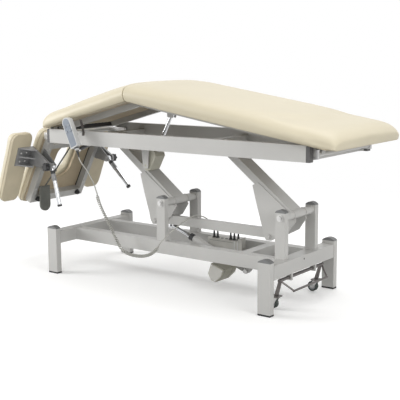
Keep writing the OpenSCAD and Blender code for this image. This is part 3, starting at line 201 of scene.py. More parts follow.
class CouchStudio(PropertyGroup):
    """Light, floor and camera lens."""
    world: FloatProperty(name="World light", description="Strength of the light from all round", default=0.56, min=0.0,
                         max=2.0)
    floor_bounce: FloatProperty(name="Floor bounce", description="Share of light that the floor throws back",
                                default=0.42, min=0.0, max=1.0, subtype="FACTOR")
    floor_glow: FloatProperty(name="Floor glow", description="Own light of the floor as the camera sees it",
                              default=0.12, min=0.0, max=1.0)
    key: power("Key lamp", "Lamp in front of the couch", 43)
    top: power("Top lamp", "Lamp above the couch", 106)
    left_fill: power("Left lamp", "Lamp beyond the head end", 150)
    front_fill: power("Right lamp", "Lamp beyond the foot end", 84)
    lens: FloatProperty(name="Lens", description="Focal length of the camera", default=77.9, min=10, max=300,
                        unit="CAMERA")


# Mesh helpers
def mesh_object(name, shape):
    """Object from (points, faces), its faces turned outward."""
    mesh = bpy.data.meshes.new(name)
    mesh.from_pydata([tuple(v) for v in shape[0]], [], shape[1])
    bm = bmesh.new()
    bm.from_mesh(mesh)
    bmesh.ops.recalc_face_normals(bm, faces=bm.faces)
    bm.to_mesh(mesh)
    bm.free()
    obj = bpy.data.objects.new(name, mesh)
    bpy.context.scene.collection.objects.link(obj)
    return obj


def smooth(obj, angle):
    """Smooth shading, with edges over the angle kept sharp."""
    obj.data.shade_smooth()
    if angle < 180:
        obj.data.set_sharp_from_angle(angle=math.radians(angle))


def apply_modifiers(obj):
    """Turn an object's modifiers into its mesh."""
    graph = bpy.context.evaluated_depsgraph_get()
    done = bpy.data.meshes.new_from_object(obj.evaluated_get(graph))
    old = obj.data
    obj.modifiers.clear()
    obj.data = done
    bpy.data.meshes.remove(old)


def finish_piece(obj, key, body, angle):
    """Material, slot and body of a piece; a piece given no body is left without one."""
    obj.data.materials.append(material(key))
    smooth(obj, angle)
    if body:
        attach(obj, body)


def loft(rings, caps=True):
    """Faces over equal closed rings of points."""
    n = len(rings[0])
    verts = [v for ring in rings for v in ring]
    faces = []
    for i in range(len(rings) - 1):
        for k in range(n):
            a, b = i * n + k, i * n + (k + 1) % n
            faces.append((a, b, b + n, a + n))
    if caps:
        faces.append(tuple(range(n))[::-1])
        faces.append(tuple((len(rings) - 1) * n + k for k in range(n)))
    return verts, faces


def ring_at(centre, a, b, radius, sides):
    """Round ring of points in the plane of a and b; the radius is in millimetres."""
    return [centre + (a * math.cos(w) + b * math.sin(w)) * radius * MM
            for w in (2 * math.pi * k / sides for k in range(sides))]


def sides_of(axis):
    """The axis and two directions square to it, all of length one."""
    axis = Vector(axis).normalized()
    a = axis.orthogonal().normalized()
    return axis, a, axis.cross(a)


def frames_along(points):
    """Side and up vectors carried along a line without twist."""
    out = []
    side = None
    for i, p in enumerate(points):
        t = (points[min(i + 1, len(points) - 1)] - points[max(i - 1, 0)]).normalized()
        if side is None:
            side = t.cross(Vector((0.13, 0.97, 0.21))).normalized()
        side = (side - t * side.dot(t)).normalized()
        out.append((side.copy(), t.cross(side)))
    return out


def tube_mesh(points, radius, sides):
    """Round tube along a line; the radius is in millimetres."""
    return loft([ring_at(p, a, b, radius, sides) for p, (a, b) in zip(points, frames_along(points))])


def lathe_mesh(centre, axis, profile, sides):
    """Profile of (distance along the axis, radius), turned about the axis."""
    axis, a, b = sides_of(axis)
    return loft([ring_at(centre + axis * t * MM, a, b, r, sides) for t, r in profile])


def prism_mesh(outline, y0, y1):
    """Outline of (x, z) points drawn out along Y."""
    return loft([[P(x, y, z) for x, z in outline] for y in (y0, y1)])


def box_mesh(a, b):
    """Box between two opposite corners."""
    return prism_mesh([(a[0], a[2]), (b[0], a[2]), (b[0], b[2]), (a[0], b[2])], a[1], b[1])


def join_meshes(parts):
    """Several meshes as one."""
    verts, faces = [], []
    for v, f in parts:
        n = len(verts)
        verts += list(v)
        faces += [tuple(k + n for k in face) for face in f]
    return verts, faces


def spline_points(route, steps):
    """Points on a smooth curve through a route."""
    n = len(route) - 1
    out = []
    for s in range(steps + 1):
        f = min(s / steps, 1.0) * n
        i = min(int(f), n - 1)
        t = f - i
        a, b, c, d = (Vector(route[k]) for k in (max(i - 1, 0), i, i + 1, min(i + 2, n)))
        out.append(0.5 * (2 * b + (c - a) * t + (2 * a - 5 * b + 4 * c - d) * t * t
                          + (3 * b - a - 3 * c + d) * t ** 3))
    return out


def even_points(points, spacing):
    """The same line with its points a fixed distance apart."""
    sums = [0.0]
    for p, q in zip(points, points[1:]):
        sums.append(sums[-1] + (q - p).length)
    steps = max(2, round(sums[-1] / spacing))
    out, i = [], 0
    for k in range(steps + 1):
        s = sums[-1] * k / steps
        while i < len(points) - 2 and sums[i + 1] < s:
            i += 1
        span = sums[i + 1] - sums[i]
        out.append(points[i].lerp(points[i + 1], (s - sums[i]) / span if span else 0))
    return out


def line_length(points):
    """Length of a line of points."""
    return sum((q - p).length for p, q in zip(points, points[1:]))


# Procedural finishes
def node(tree, kind, inputs=None, **settings):
    """One shader node, with its inputs as values or links and its settings by name."""
    made = tree.nodes.new("ShaderNode" + kind)
    for key, value in settings.items():
        setattr(made, key, value)
    for key, value in (inputs or {}).items():
        if isinstance(value, bpy.types.NodeSocket):
            tree.links.new(value, made.inputs[key])
        else:
            made.inputs[key].default_value = value
    return made


def maths(tree, operation, a, b):
    """Result of a Math node on two values or links."""
    return node(tree, "Math", {0: a, 1: b}, operation=operation).outputs[0]


def new_group(name, inputs, outputs):
    """Empty node group with named sockets: its tree, its inputs and its output node."""
    tree = bpy.data.node_groups.new(name, "ShaderNodeTree")
    kinds = {4: "NodeSocketColor", 3: "NodeSocketVector", 1: "NodeSocketFloat"}
    for key, value in inputs.items():
        size = len(value) if isinstance(value, tuple) else 1
        made = tree.interface.new_socket(name=key, in_out="INPUT", socket_type=kinds[size])
        made.default_value = value
    for key, size in outputs.items():
        tree.interface.new_socket(name=key, in_out="OUTPUT", socket_type=kinds[size])
    return tree, tree.nodes.new("NodeGroupInput").outputs, tree.nodes.new("NodeGroupOutput").inputs


def detail_group():
    """Shared group: tone drift, fine grain, worn edges and a grain bump."""
    tree, gin, gout = new_group(
        "surface_detail",
        {"Tone A": (0.5, 0.5, 0.5, 1), "Tone B": (0.4, 0.4, 0.4, 1), "Worn": (0.6, 0.6, 0.6, 1), "Drift Scale": 6.0,
         "Grain Scale": 600.0, "Wear": 0.0, "Rough Low": 0.4, "Rough High": 0.6, "Grain": 0.1, "Grain Size": 0.0005},
        {"Color": 4, "Roughness": 1, "Normal": 3})
    place = node(tree, "TexCoord").outputs["Object"]
    drift = node(tree, "TexNoise", {"Vector": place, "Scale": gin["Drift Scale"], "Detail": 4})
    grain = node(tree, "TexNoise", {"Vector": place, "Scale": gin["Grain Scale"], "Detail": 6}).outputs["Fac"]
    spread = node(tree, "MapRange", {"Value": drift.outputs["Fac"], "From Min": 0.34, "From Max": 0.66})
    tone = node(tree, "Mix", {"Factor": spread.outputs["Result"], "A": gin["Tone A"], "B": gin["Tone B"]},
                data_type="RGBA")
    edge = node(tree, "NewGeometry").outputs["Pointiness"]
    sharp = node(tree, "MapRange", {"Value": edge, "From Min": 0.53, "From Max": 0.62})
    amount = maths(tree, "MULTIPLY", maths(tree, "MULTIPLY", sharp.outputs["Result"], grain), gin["Wear"])
    worn = node(tree, "Mix", {"Factor": amount, "A": tone.outputs["Result"], "B": gin["Worn"]}, data_type="RGBA")
    rough = node(tree, "MapRange", {"Value": grain, "From Min": 0.3, "From Max": 0.7, "To Min": gin["Rough Low"],
                                    "To Max": gin["Rough High"]})
    bump = node(tree, "Bump", {"Height": grain, "Strength": gin["Grain"], "Distance": gin["Grain Size"]})
    tree.links.new(worn.outputs["Result"], gout["Color"])
    tree.links.new(rough.outputs["Result"], gout["Roughness"])
    tree.links.new(bump.outputs["Normal"], gout["Normal"])
    return tree


def pebble_group():
    """Leather grain: rounded cells with a thin groove between them."""
    tree, gin, gout = new_group("leather_pebble", {"Scale": 700.0}, {"Height": 1})
    place = node(tree, "TexCoord").outputs["Object"]
    cells = node(tree, "TexVoronoi", {"Vector": place, "Scale": gin["Scale"]}, feature="DISTANCE_TO_EDGE")
    groove = node(tree, "MapRange", {"Value": cells.outputs["Distance"], "From Max": 0.22})
    tree.links.new(groove.outputs["Result"], gout["Height"])
    return tree


def weave_group():
    """Plain weave: two crossed sets of fine bands."""
    tree, gin, gout = new_group("plain_weave", {"Scale": 260.0}, {"Height": 1})
    place = node(tree, "TexCoord").outputs["Object"]
    bands = [node(tree, "TexWave", {"Vector": place, "Scale": gin["Scale"], "Distortion": 0.6},
                  bands_direction=way).outputs["Fac"] for way in ("X", "Y")]
    tree.links.new(maths(tree, "MAXIMUM", *bands), gout["Height"])
    return tree


# Finish: material name, tone or None where the settings hold it, share of the second tone, its pattern (drift
# scale, grain scale, lowest and highest roughness, grain) and what else it needs
FINISHES = {
    "leather": ("cream_leatherette", None, 0.957, (3.5, 420, 0.40, 0.52, 0.10),
                dict(sheen=0.06, grain_size=0.0003, wear=0.25, worn=(0.70, 0.64, 0.50))),
    # Turned leatherette: the cover made darker, painted shade on the lower sides and under the boards
    "wrap": ("folded_leatherette", None, 0.91, (14, 420, 0.45, 0.6, 0.15), {}),
    "welt": ("seam_shadow_leatherette", (0.50, 0.43, 0.30), 0.885, (40, 600, 0.5, 0.65, 0.2), {}),
    "thread": ("seam_thread", (0.70, 0.62, 0.45), 0.845, (200, 1500, 0.6, 0.8, 0.4), {}),
    "cover": ("tan_dust_cover", None, 0.895, (9, 900, 0.8, 0.95, 0.3), dict(sheen=0.1)),
    "paint": ("light_grey_powder_coat", None, 0.942, (5, 900, 0.34, 0.46, 0.14),
              dict(coat=0.12, grain_size=0.0003, wear=0.25, worn=(0.70, 0.69, 0.67))),
    "weld": ("painted_weld", (0.45, 0.445, 0.428), 0.92, (60, 400, 0.38, 0.55, 0.4), dict(coat=0.1, grain_size=0.0006)),
    "cap": ("dark_grey_plastic", None, 0.855, (20, 1100, 0.42, 0.6, 0.25), dict(wear=0.35, worn=(0.24, 0.245, 0.25))),
    "end_cap": ("dark_end_cap_plastic", (0.085, 0.083, 0.082), 0.8, (25, 1100, 0.4, 0.55, 0.25),
                dict(wear=0.3, worn=(0.16, 0.16, 0.16))),
    "rubber": ("black_rubber", (0.022, 0.022, 0.023), 1.3, (30, 900, 0.75, 0.95, 0.35), {}),
    "zinc": ("zinc_plate", (0.58, 0.575, 0.565), 0.83, (45, 700, 0.26, 0.46, 0.12),
             dict(metallic=0.9, wear=0.3, worn=(0.7, 0.7, 0.72))),
    "cast": ("grey_casting", None, 0.81, (35, 520, 0.42, 0.62, 0.45),
             dict(metallic=0.55, grain_size=0.0005, wear=0.4, worn=(0.55, 0.55, 0.56))),
    "chrome": ("polished_chrome", (0.74, 0.75, 0.77), 0.92, (12, 300, 0.10, 0.20, 0.02), dict(metallic=1.0)),
    "black_metal": ("dark_grey_enamel", (0.05, 0.053, 0.057), 0.8, (18, 800, 0.32, 0.46, 0.12),
                    dict(coat=0.2, wear=0.4, worn=(0.2, 0.2, 0.21))),
    "paddle": ("grey_green_paddle", (0.125, 0.128, 0.112), 0.81, (18, 900, 0.45, 0.6, 0.2), {}),
    "motor": ("beige_grey_moulding", None, 0.93, (12, 1300, 0.42, 0.56, 0.22), {}),
    "light": ("light_grey_moulding", None, 0.92, (14, 1200, 0.40, 0.55, 0.18), {}),
    "shell": ("hand_control_shell", None, 0.94, (25, 1300, 0.38, 0.5, 0.15), {}),
    "membrane": ("blue_grey_membrane", None, 0.92, (30, 1500, 0.35, 0.48, 0.1), {}),
    "black": ("black_moulding", None, 0.74, (25, 1100, 0.38, 0.55, 0.2), dict(wear=0.3, worn=(0.12, 0.12, 0.12))),
    "nylon": ("white_nylon", (0.72, 0.71, 0.67), 0.915, (30, 900, 0.35, 0.5, 0.1), {}),
    "cord": ("grey_cord_jacket", None, 0.905, (30, 1300, 0.42, 0.56, 0.15), {}),
    "tyre": ("dark_tyre", (0.045, 0.056, 0.05), 0.8, (40, 900, 0.6, 0.8, 0.3), {}),
    "dark_steel": ("dark_steel_wire", (0.17, 0.155, 0.15), 0.77, (30, 700, 0.3, 0.45, 0.15), dict(metallic=0.7)),
    "hub": ("grey_hub", (0.27, 0.28, 0.29), 0.855, (40, 900, 0.45, 0.6, 0.2), {}),
}
# Second bump under the grain: its group, scale, strength and depth in metres
SURFACES = {"leather": ("leather_pebble", 700, 0.16, 0.0003), "wrap": ("leather_pebble", 700, 0.2, 0.0003),
            "cover": ("plain_weave", 260, 0.35, 0.0004)}


def material(key):
    """Material by the short name of its finish."""
    return bpy.data.materials[FINISHES[key][0]]


def make_finish(key, tone, group):
    """One material from the shared group; constants go on the shader's own sockets."""
    name, _, share, pattern, extra = FINISHES[key]
    mat = bpy.data.materials.new(name)
    mat.use_nodes = True
    tree = mat.node_tree
    shader = tree.nodes["Principled BSDF"]
    for socket, value in (("Metallic", "metallic"), ("Coat Weight", "coat"), ("Sheen Weight", "sheen")):
        shader.inputs[socket].default_value = extra.get(value, 0.0)
    shader.inputs["Coat Roughness"].default_value = 0.18
    inputs = {"Tone A": (*tone, 1), "Tone B": (*(c * share for c in tone), 1), "Worn": (*extra.get("worn", tone), 1),
              "Wear": extra.get("wear", 0.0), "Grain Size": extra.get("grain_size", 0.0005)}
    inputs.update(zip(("Drift Scale", "Grain Scale", "Rough Low", "Rough High", "Grain"), pattern))
    detail = node(tree, "Group", inputs, node_tree=group)
    tree.links.new(detail.outputs["Color"], shader.inputs["Base Color"])
    tree.links.new(detail.outputs["Roughness"], shader.inputs["Roughness"])
    normal = detail.outputs["Normal"]
    if key in SURFACES:
        surface, scale, strength, depth = SURFACES[key]
        height = node(tree, "Group", {"Scale": scale}, node_tree=bpy.data.node_groups[surface])
        normal = node(tree, "Bump", {"Strength": strength, "Distance": depth, "Height": height.outputs["Height"],
                                     "Normal": normal}).outputs["Normal"]
    tree.links.new(normal, shader.inputs["Normal"])


class COUCH_OT_finishes(Operator):
    """Make the node groups and every material"""
    bl_idname = "couch.finishes"
    bl_label = "Make Finishes"

    def execute(self, context):
        group = detail_group()
        pebble_group()
        weave_group()
        for key, row in FINISHES.items():
            make_finish(key, row[1] or tuple(getattr(context.scene.couch_colours, key)), group)
        return {"FINISHED"}


# Upholstery: half sections of a welted and of a plain cushion, as shares of its half width and its height
HALF_SECTION = [(0.955, 0.0), (0.978, 0.08), (0.993, 0.19), (1.0, 0.295), (0.9995, 0.33), (0.999, 0.42),
                (0.992, 0.53), (0.981, 0.63), (0.962, 0.72), (0.936, 0.80), (0.90, 0.865), (0.85, 0.912),
                (0.78, 0.945), (0.68, 0.967), (0.55, 0.982), (0.40, 0.992), (0.20, 0.998)]
SOFT_SECTION = [(0.955, 0.0), (0.972, 0.07), (0.987, 0.16), (0.997, 0.26), (1.0, 0.34), (0.998, 0.43), (0.990, 0.52),
                (0.975, 0.61), (0.952, 0.69), (0.921, 0.765), (0.880, 0.83), (0.828, 0.88), (0.760, 0.92),
                (0.668, 0.95), (0.545, 0.973), (0.39, 0.989), (0.20, 0.998)]
SEAM_INDEX = 3
# Section, share of the height that is held while the skin swells, and share that takes the turned cover, darker
# leatherette that paints shade on the lower side
WELTED = (HALF_SECTION, 0.31, 0.285)
PLAIN = (SOFT_SECTION, 0.06, 0.03)
# Shares of an end roll where the skin has rings, and the rings of an end that meets its neighbour
ROLL_STEPS = [0.0, 0.02, 0.06, 0.13, 0.22, 0.33, 0.46, 0.60, 0.78, 1.0]
BLUNT_END = [(0, 0.985), (1.5, 0.994), (6, 0.999), (16, 1.0)]
LOW_EDGE = 0.42
END_SEAM = 0.124
LEAN_REACH = 90
HELD_END = 20
BOARD_PLAY = 0.5
SEAM_PROUD = 0.4
WRINKLES_FROM = 0.32
WRINKLES_REACH = 150
SWELL_FRAMES = 14
SWELL_CLOTH = dict(quality=4, mass=0.35, tension_stiffness=30, compression_stiffness=30, shear_stiffness=12,
                   bending_stiffness=6, vertex_group_mass="held", use_pressure=True, uniform_pressure_force=3.0)
# Places of a stitch's points between two holes, its lift above the welt, and the thread
STITCH_SPAN = (0.18, 0.5, 0.82)
STITCH_LIFT = 3.0
THREAD_R = 0.55
# Spacing of the points along a side seam, round the head cushion, round the face hole and along a lead
SEAM_STEP, HEAD_STEP, HOLE_STEP, LEAD_STEP = 12, 10, 8, 9
PIPING_R = 1.8


def roll_height(s):
    """Share of the cushion's height at a share of its end roll."""
    return 1.0 if s >= 1 else LOW_EDGE + (1 - LOW_EDGE) * math.sqrt(1 - (1 - s) ** 2.2)


def roll_width(s, corner):
    """How far the cushion's sides draw in at a share of its end roll."""
    return 0.0 if s >= 1 else corner * (1 - math.sqrt(1 - (1 - s) ** 2))


def local(x, y, z):
    """Point of a cushion's own frame, from millimetres."""
    return Vector((x * MM, y * MM, z * MM))


def wrinkle(p, size, scale, seed):
    """Small rise or dip of a skin at a point."""
    q = p * scale + Vector((seed, seed * 0.7, -seed))
    return size * MM * (noise.noise(q) + 0.5 * noise.noise(q * 2.1))


def cushion_stations(dims, middle):
    """Places along a cushion, with its share of height and the draw of its sides there."""
    x0, x1, _, _, _, _, r0, r1, corner = dims

    def end(x, way, roll):
        if roll:
            return [(x + way * s * roll, roll_height(s), roll_width(s, corner)) for s in ROLL_STEPS]
        return [(x + way * d, high, 0.0) for d, high in BLUNT_END]

    first, last = end(x0, 1, r0), end(x1, -1, r1)[::-1]
    a, b = first[-1][0], last[0][0]
    return first + [(a + (b - a) * i / middle, 1.0, 0.0) for i in range(1, middle)] + last


def cushion_rings(dims, board, middle, leans, section):
    """Rings of the cushion skin, with the pocket of its board left open underneath."""
    x0, x1, w0, w1, t, z = dims[:6]
    rings = []
    for x, high, narrow in cushion_stations(dims, middle):
        w = w0 + (w1 - w0) * (x - x0) / (x1 - x0) - narrow
        inside = board and board[0] - 0.6 <= x <= board[1] + 0.6
        pocket_y = board[2] + BOARD_PLAY if inside else w * 0.93
        lift = board[3] + BOARD_PLAY if inside else 0.4
        half = [(share_y * w, share_z * t * high) for share_y, share_z in section]
        under = [(pocket_y, 0.0), (pocket_y, lift), (pocket_y * 0.5, lift)]
        outline = under[::-1] + half + [(0.0, t * high)]
        outline += [(-y, h) for y, h in reversed(half)] + [(-y, h) for y, h in under]
        slope = sum(lean * max(0.0, 1 - abs(x - end) / LEAN_REACH) ** 2 for end, lean in zip((x0, x1), leans))
        rings.append([local(x + slope * (h + z - RIDGE_FLAT[1]), y, z + h) for y, h in outline])
    return rings


def swell(obj, held, cap):
    """Short cloth run: the skin is blown up a little from its held lower edge."""
    start = [v.co.copy() for v in obj.data.vertices]
    group = obj.vertex_groups.new(name="held")
    group.add([v.index for v in obj.data.vertices if held(v.co)], 1.0, "REPLACE")
    cloth = obj.modifiers.new("cloth", "CLOTH")
    for key, value in SWELL_CLOTH.items():
        setattr(cloth.settings, key, value)
    cloth.settings.effector_weights.gravity = 0
    cloth.collision_settings.use_collision = False
    cloth.point_cache.frame_start, cloth.point_cache.frame_end = 1, SWELL_FRAMES
    scene = bpy.context.scene
    for step in range(1, SWELL_FRAMES + 1):
        scene.frame_set(step)
    apply_modifiers(obj)
    scene.frame_set(1)
    for v, p in zip(obj.data.vertices, start):
        move = v.co - p
        if move.length > cap * MM:
            move = move.normalized() * cap * MM
        v.co = p + move


def finish_skin(obj, cad_node, body, matrix, turned_and_shaded):
    """Cover, rounding, place and body of a cushion skin; under the given height it has the turned cover, darker
    leatherette that paints shade on the lower side.
    """
    for key in ("leather", "wrap"):
        obj.data.materials.append(material(key))
    # Faces under that height take the darker leatherette, painted shade on the lower side
    for face in obj.data.polygons:
        if face.center.z < turned_and_shaded * MM:
            face.material_index = 1
    sub = obj.modifiers.new("soft", "SUBSURF")
    sub.levels = sub.render_levels = 1
    apply_modifiers(obj)
    obj.data.transform(matrix)
    smooth(obj, 60)
    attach(obj, body)
    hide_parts(cad_node)


def seam_run(points, name, body):
    """Folded welt along a closed or open line, with a row of small stitches on it."""
    sizes = bpy.context.scene.couch_sizes
    finish_piece(mesh_object(name, tube_mesh(points, sizes.welt / MM, 8)), "welt", body, 180)
    holes = even_points(points, sizes.stitch)
    verts, faces = join_meshes([tube_mesh([p.lerp(q, f) for f in STITCH_SPAN], THREAD_R, 5)
                                for p, q in zip(holes, holes[1:])])
    for v in verts:
        v.z += STITCH_LIFT * MM
    finish_piece(mesh_object(name + "_stitches", (verts, faces)), "thread", body, 180)


def cushion_piece(name, cad_node, body, matrix, dims, board, middle, seed, cap, leans=(0.0, 0.0), tuck=None,
                  kind=WELTED):
    """Upholstered cushion that stands for a CAD cushion; tuck holds its near side in there.

    dims are its ends, its half widths at the ends, thickness, underside, end rolls and corner, in millimetres.
    """
    x0, x1, w0, w1, t, z, r0, r1, corner = dims
    section, hold, turned_and_shaded = kind
    rings = cushion_rings(dims, board, middle, leans, section)
    obj = mesh_object(name, loft(rings))
    low = (z + t * hold) * MM
    swell(obj, lambda c: (c.z < low or (not r0 and c.x < (x0 + HELD_END) * MM)
                          or (not r1 and c.x > (x1 - HELD_END) * MM)), cap)
    for v in obj.data.vertices:
        h = (v.co.z - z * MM) / (t * MM)
        if h > WRINKLES_FROM:
            edge = min(v.co.x - x0 * MM, x1 * MM - v.co.x)
            near = max(0.0, 1 - edge / (WRINKLES_REACH * MM))
            side = min(1.0, abs(v.co.y) / (w0 * MM))
            v.co.z += wrinkle(v.co, 0.8 + 1.6 * near * side, 9, seed) * min(1, (h - WRINKLES_FROM) * 3)
            v.co.y += wrinkle(v.co, 1.2 * near, 14, seed + 5) * side
        if tuck and (tuck[0] - 15) * MM < v.co.x < (tuck[1] + 25) * MM:
            v.co.y = max(v.co.y, CLIP_FACE * MM)
    finish_skin(obj, cad_node, body, matrix, z + t * turned_and_shaded)
    if kind is PLAIN:
        return obj
    far, near = ([ring[k] for ring in rings] for k in (SEAM_INDEX + 3, -SEAM_INDEX - 4))

    def across(x, w, way):
        return [local(x, way * (1 - i / 6) * (w - corner), z + t * END_SEAM) for i in range(13)]

    line = far + across(x1 + SEAM_PROUD, w1, 1) + near[::-1] + across(x0 - SEAM_PROUD, w0, -1) + far[:1]
    seam_run(even_points([matrix @ p for p in line], SEAM_STEP * MM), name + "_seam", body)
    return obj


# Head cushion from its pivot: ends, half width, thickness, and the face hole's middle, width and length
HEAD_ENDS = (465, 7)
HEAD_HALF, HEAD_T = 228.0, 66.0
FACE_HOLE = (211, 130.0, 200.0)
HEAD_BOARD_IN = 18.0
HEAD_POINTS = 120
SQUARENESS = 0.16


class COUCH_OT_head_cushion(Operator):
    """Head cushion with its oval face hole: one skin wound through the hole"""
    bl_idname = "couch.head_cushion"
    bl_label = "Head Cushion"

    def execute(self, context):
        sizes = context.scene.couch_sizes
        x0, x1 = (HEAD_PIVOT[0] - d for d in HEAD_ENDS)
        half, t, z, corner, roll = HEAD_HALF, HEAD_T, BOARD_Z, sizes.corner / MM, sizes.head_roll / MM
        hole_x, hole_w = HEAD_PIVOT[0] - FACE_HOLE[0], FACE_HOLE[1]
        reach = (FACE_HOLE[2] - hole_w) / 2
        cx, hx = (x0 + x1) / 2, (x1 - x0) / 2
        inner, outer = [], []
        for w in (2 * math.pi * k / HEAD_POINTS for k in range(HEAD_POINTS)):
            c, s = math.cos(w), math.sin(w)
            inner.append((hole_x + (reach if c > 0 else -reach) * min(1, abs(c) * 4) + hole_w / 2 * c, hole_w / 2 * s))
            px, py = (math.copysign(abs(v) ** SQUARENESS, v) for v in (c, s))
            ex = (abs(px) * hx - (hx - roll)) / roll
            ey = (abs(py) * half - (half - corner)) / corner
            over = math.hypot(ex, ey)
            if ex > 0 and ey > 0 and over > 1:
                px = math.copysign((hx - roll + ex / over * roll) / hx, px)
                py = math.copysign((half - corner + ey / over * corner) / half, py)
            outer.append((cx + px * hx, py * half))
        rings = []
        for (ix, iy), (ox, oy) in zip(inner, outer):
            span = math.hypot(ox - ix, oy - iy)
            lip, edge = min(0.25, 10 / span), min(0.4, 46 / span)
            # From the board up through the hole, over its lip and the top, and down to the underside
            shape = [(0.0, BOARD_T + BOARD_PLAY), (0.0, 0.4 * t), (0.0, 0.75 * t), (lip * 0.12, 0.88 * t),
                     (lip * 0.45, 0.955 * t), (lip, 0.985 * t)]
            shape += [(lip + (1 - edge - lip) * f, t * (1.0 - 0.012 * (f == 1.0))) for f in (0.35, 0.65, 1.0)]
            shape += [(1 - edge * (1 - f), t * (LOW_EDGE + 0.568 * math.sqrt(max(0, 1 - f ** 2.4))))
                      for f in (0.35, 0.6, 0.78, 0.9, 0.97, 1.0)]
            shape += [(1.0, t * 0.295), (1 - 3 / span, t * 0.12), (1 - 8 / span, 0.0)]
            ring = [local(ix + (ox - ix) * f, iy + (oy - iy) * f, z + h) for f, h in shape]
            inset = HEAD_BOARD_IN - BOARD_PLAY
            bx, by = max(x0 + inset, min(x1 - inset, ox)), max(inset - half, min(half - inset, oy))
            rings.append(ring + [local(bx, by, z), local(bx, by, z + BOARD_T + BOARD_PLAY)])
        verts, faces = loft(rings + rings[:1], caps=False)
        total = HEAD_POINTS * len(rings[0])
        obj = mesh_object("head_cushion_skin", (verts[:total], [tuple(v % total for v in f) for f in faces]))
        low = (z + t * 0.32) * MM
        swell(obj, lambda c: c.z < low, 4.0)
        for v in obj.data.vertices:
            if (v.co.z - z * MM) / (t * MM) > 0.4:
                near_hole = max(0.0, 1 - (Vector((v.co.x - hole_x * MM, v.co.y)).length) / 0.16)
                v.co.z += wrinkle(v.co, 0.7 + 1.2 * near_hole, 12, 31)
        place = M_HEAD @ FLAT
        # Under 0.285 of its height the skin takes the darker leatherette, painted shade
        finish_skin(obj, "head_cushion", "head_section", place, z + t * 0.285)
        line = [place @ local(x + math.copysign(SEAM_PROUD, x - cx), y, z + t * 0.295) for x, y in outer]
        seam_run(even_points(line + line[:1], HEAD_STEP * MM), "head_cushion_seam", "head_section")
        rim = [place @ local(hole_x + (ix - hole_x) * 1.13, iy * 1.17, z - 0.6) for ix, iy in inner]
        piping = tube_mesh(even_points(rim + rim[:1], HOLE_STEP * MM), PIPING_R, 8)
        finish_piece(mesh_object("face_hole_piping", piping), "welt", "head_section", 180)
        return {"FINISHED"}


# Turned cover under a board: its thickness, and the pitch and half length of its staples
TRIM_T = 1.0
STAPLE_PITCH = 26
STAPLE_HALF = 5


def under_trim(name, matrix, body, x0, x1, half, z, ends, notch=None):
    """Leatherette turned under the board, darker as painted shade, with its row of staples, cut out on the near side
    over a notch.
    """
    depth = bpy.context.scene.couch_sizes.turned_edge / MM
    strips = [((x0, half - depth), (x1, half))]
    for a, b in ((x0, notch[0]), (notch[1], x1)) if notch else ((x0, x1),):
        strips.append(((a, -half), (b, -half + depth)))
    if ends[0]:
        strips.append(((x0, -half + depth), (x0 + depth, half - depth)))
    if ends[1]:
        strips.append(((x1 - depth, -half + depth), (x1, half - depth)))
    bands, staples = [], []
    rng = random.Random(len(name) * 7)
    for (ax, ay), (bx, by) in strips:
        along_x = (bx - ax) > (by - ay)
        ragged_first = ay > 0 or not along_x
        length, wide = (bx - ax, by - ay) if along_x else (by - ay, bx - ax)

        def at(s, v, h):
            return local(ax + s, ay + v, h) if along_x else local(ax + v, ay + s, h)

        steps = max(8, int(length / 16))
        rings = []
        for s in (length * i / steps for i in range(steps + 1)):
            ragged = 2.5 * noise.noise(Vector((s * 0.05, ay * 0.01, 3))) * (1 if ragged_first else -1)
            ring = []
            for v, h in ((0, 0), (0, -TRIM_T), (wide, -TRIM_T), (wide, 0)):
                shift = ragged if (v == 0) == ragged_first else 0
                bulge = -0.5 * abs(noise.noise(Vector((s * 0.08, v, 9)))) if h else 0
                ring.append(at(s, v + shift, z + h + bulge - 0.15))
            rings.append(ring)
        bands.append(loft(rings))
        for i in range(int(length / STAPLE_PITCH)):
            s = 14 + i * STAPLE_PITCH + rng.uniform(-2, 2)
            v = wide * (0.35 if ragged_first else 0.65) + rng.uniform(-1.5, 1.5)
            wire = [at(s + STAPLE_HALF * f, v, z - TRIM_T - 0.9 - 0.4 * (abs(f) < 1)) for f in (-1, -0.8, 0.8, 1)]
            staples.append(tube_mesh(wire, 0.5, 5))
    add_parts(name + "_turned_edge", bands, "wrap", body, matrix, angle=50)
    add_parts(name + "_staples", staples, "zinc", body, matrix, angle=50)


# Cushions of the couch: half width, thickness and ends, and the boards under them
COUCH_HALF, COUCH_T = 331.5, 88.0
FOOT_END, BACK_END = 832.0, -903.0
BOARD_HALF = 313.5
FOOT_BOARD_END, BACK_BOARD_END = 796.0, -885.0
# Share of its length that each cushion keeps when the couch lies flat
FOOT_KEEP, BACK_KEEP = 0.98, 0.962


class COUCH_OT_couch_cushions(Operator):
    """Foot and middle cushions, which meet at the ridge"""
    bl_idname = "couch.couch_cushions"
    bl_label = "Couch Cushions"

    def execute(self, context):
        sizes = context.scene.couch_sizes
        roll, corner, cap = (value / MM for value in (sizes.end_roll, sizes.corner, sizes.swell))
        ridge = RIDGE_FLAT[0]
        lean = math.tan(math.radians((FOOT_ANGLE + BACK_ANGLE) / 2)) * 0.985
        foot = cushion_piece("foot_cushion_skin", "foot_cushion", "foot_section", M_FOOT @ FLAT,
                             (ridge + 0.3, FOOT_END, COUCH_HALF, COUCH_HALF, COUCH_T, BOARD_Z, 0, roll, corner),
                             (ridge - 1, FOOT_BOARD_END, BOARD_HALF, BOARD_T), 34, 11, cap, (-lean, 0.0),
                             None, PLAIN)
        back = cushion_piece("back_cushion_skin", "back_cushion", "back_section", M_BACK @ FLAT,
                             (BACK_END, ridge - 0.3, COUCH_HALF, COUCH_HALF, COUCH_T, BOARD_Z, roll, 0, corner),
                             (BACK_BOARD_END, ridge + 1, BOARD_HALF, BOARD_T), 18, 23, cap, (0.0, lean),
                             CLIP_X, PLAIN)
        for skin, matrix, end, keep in ((foot, M_FOOT, FOOT_END, FOOT_KEEP), (back, M_BACK, BACK_END, BACK_KEEP)):
            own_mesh(skin)
        return {"FINISHED"}


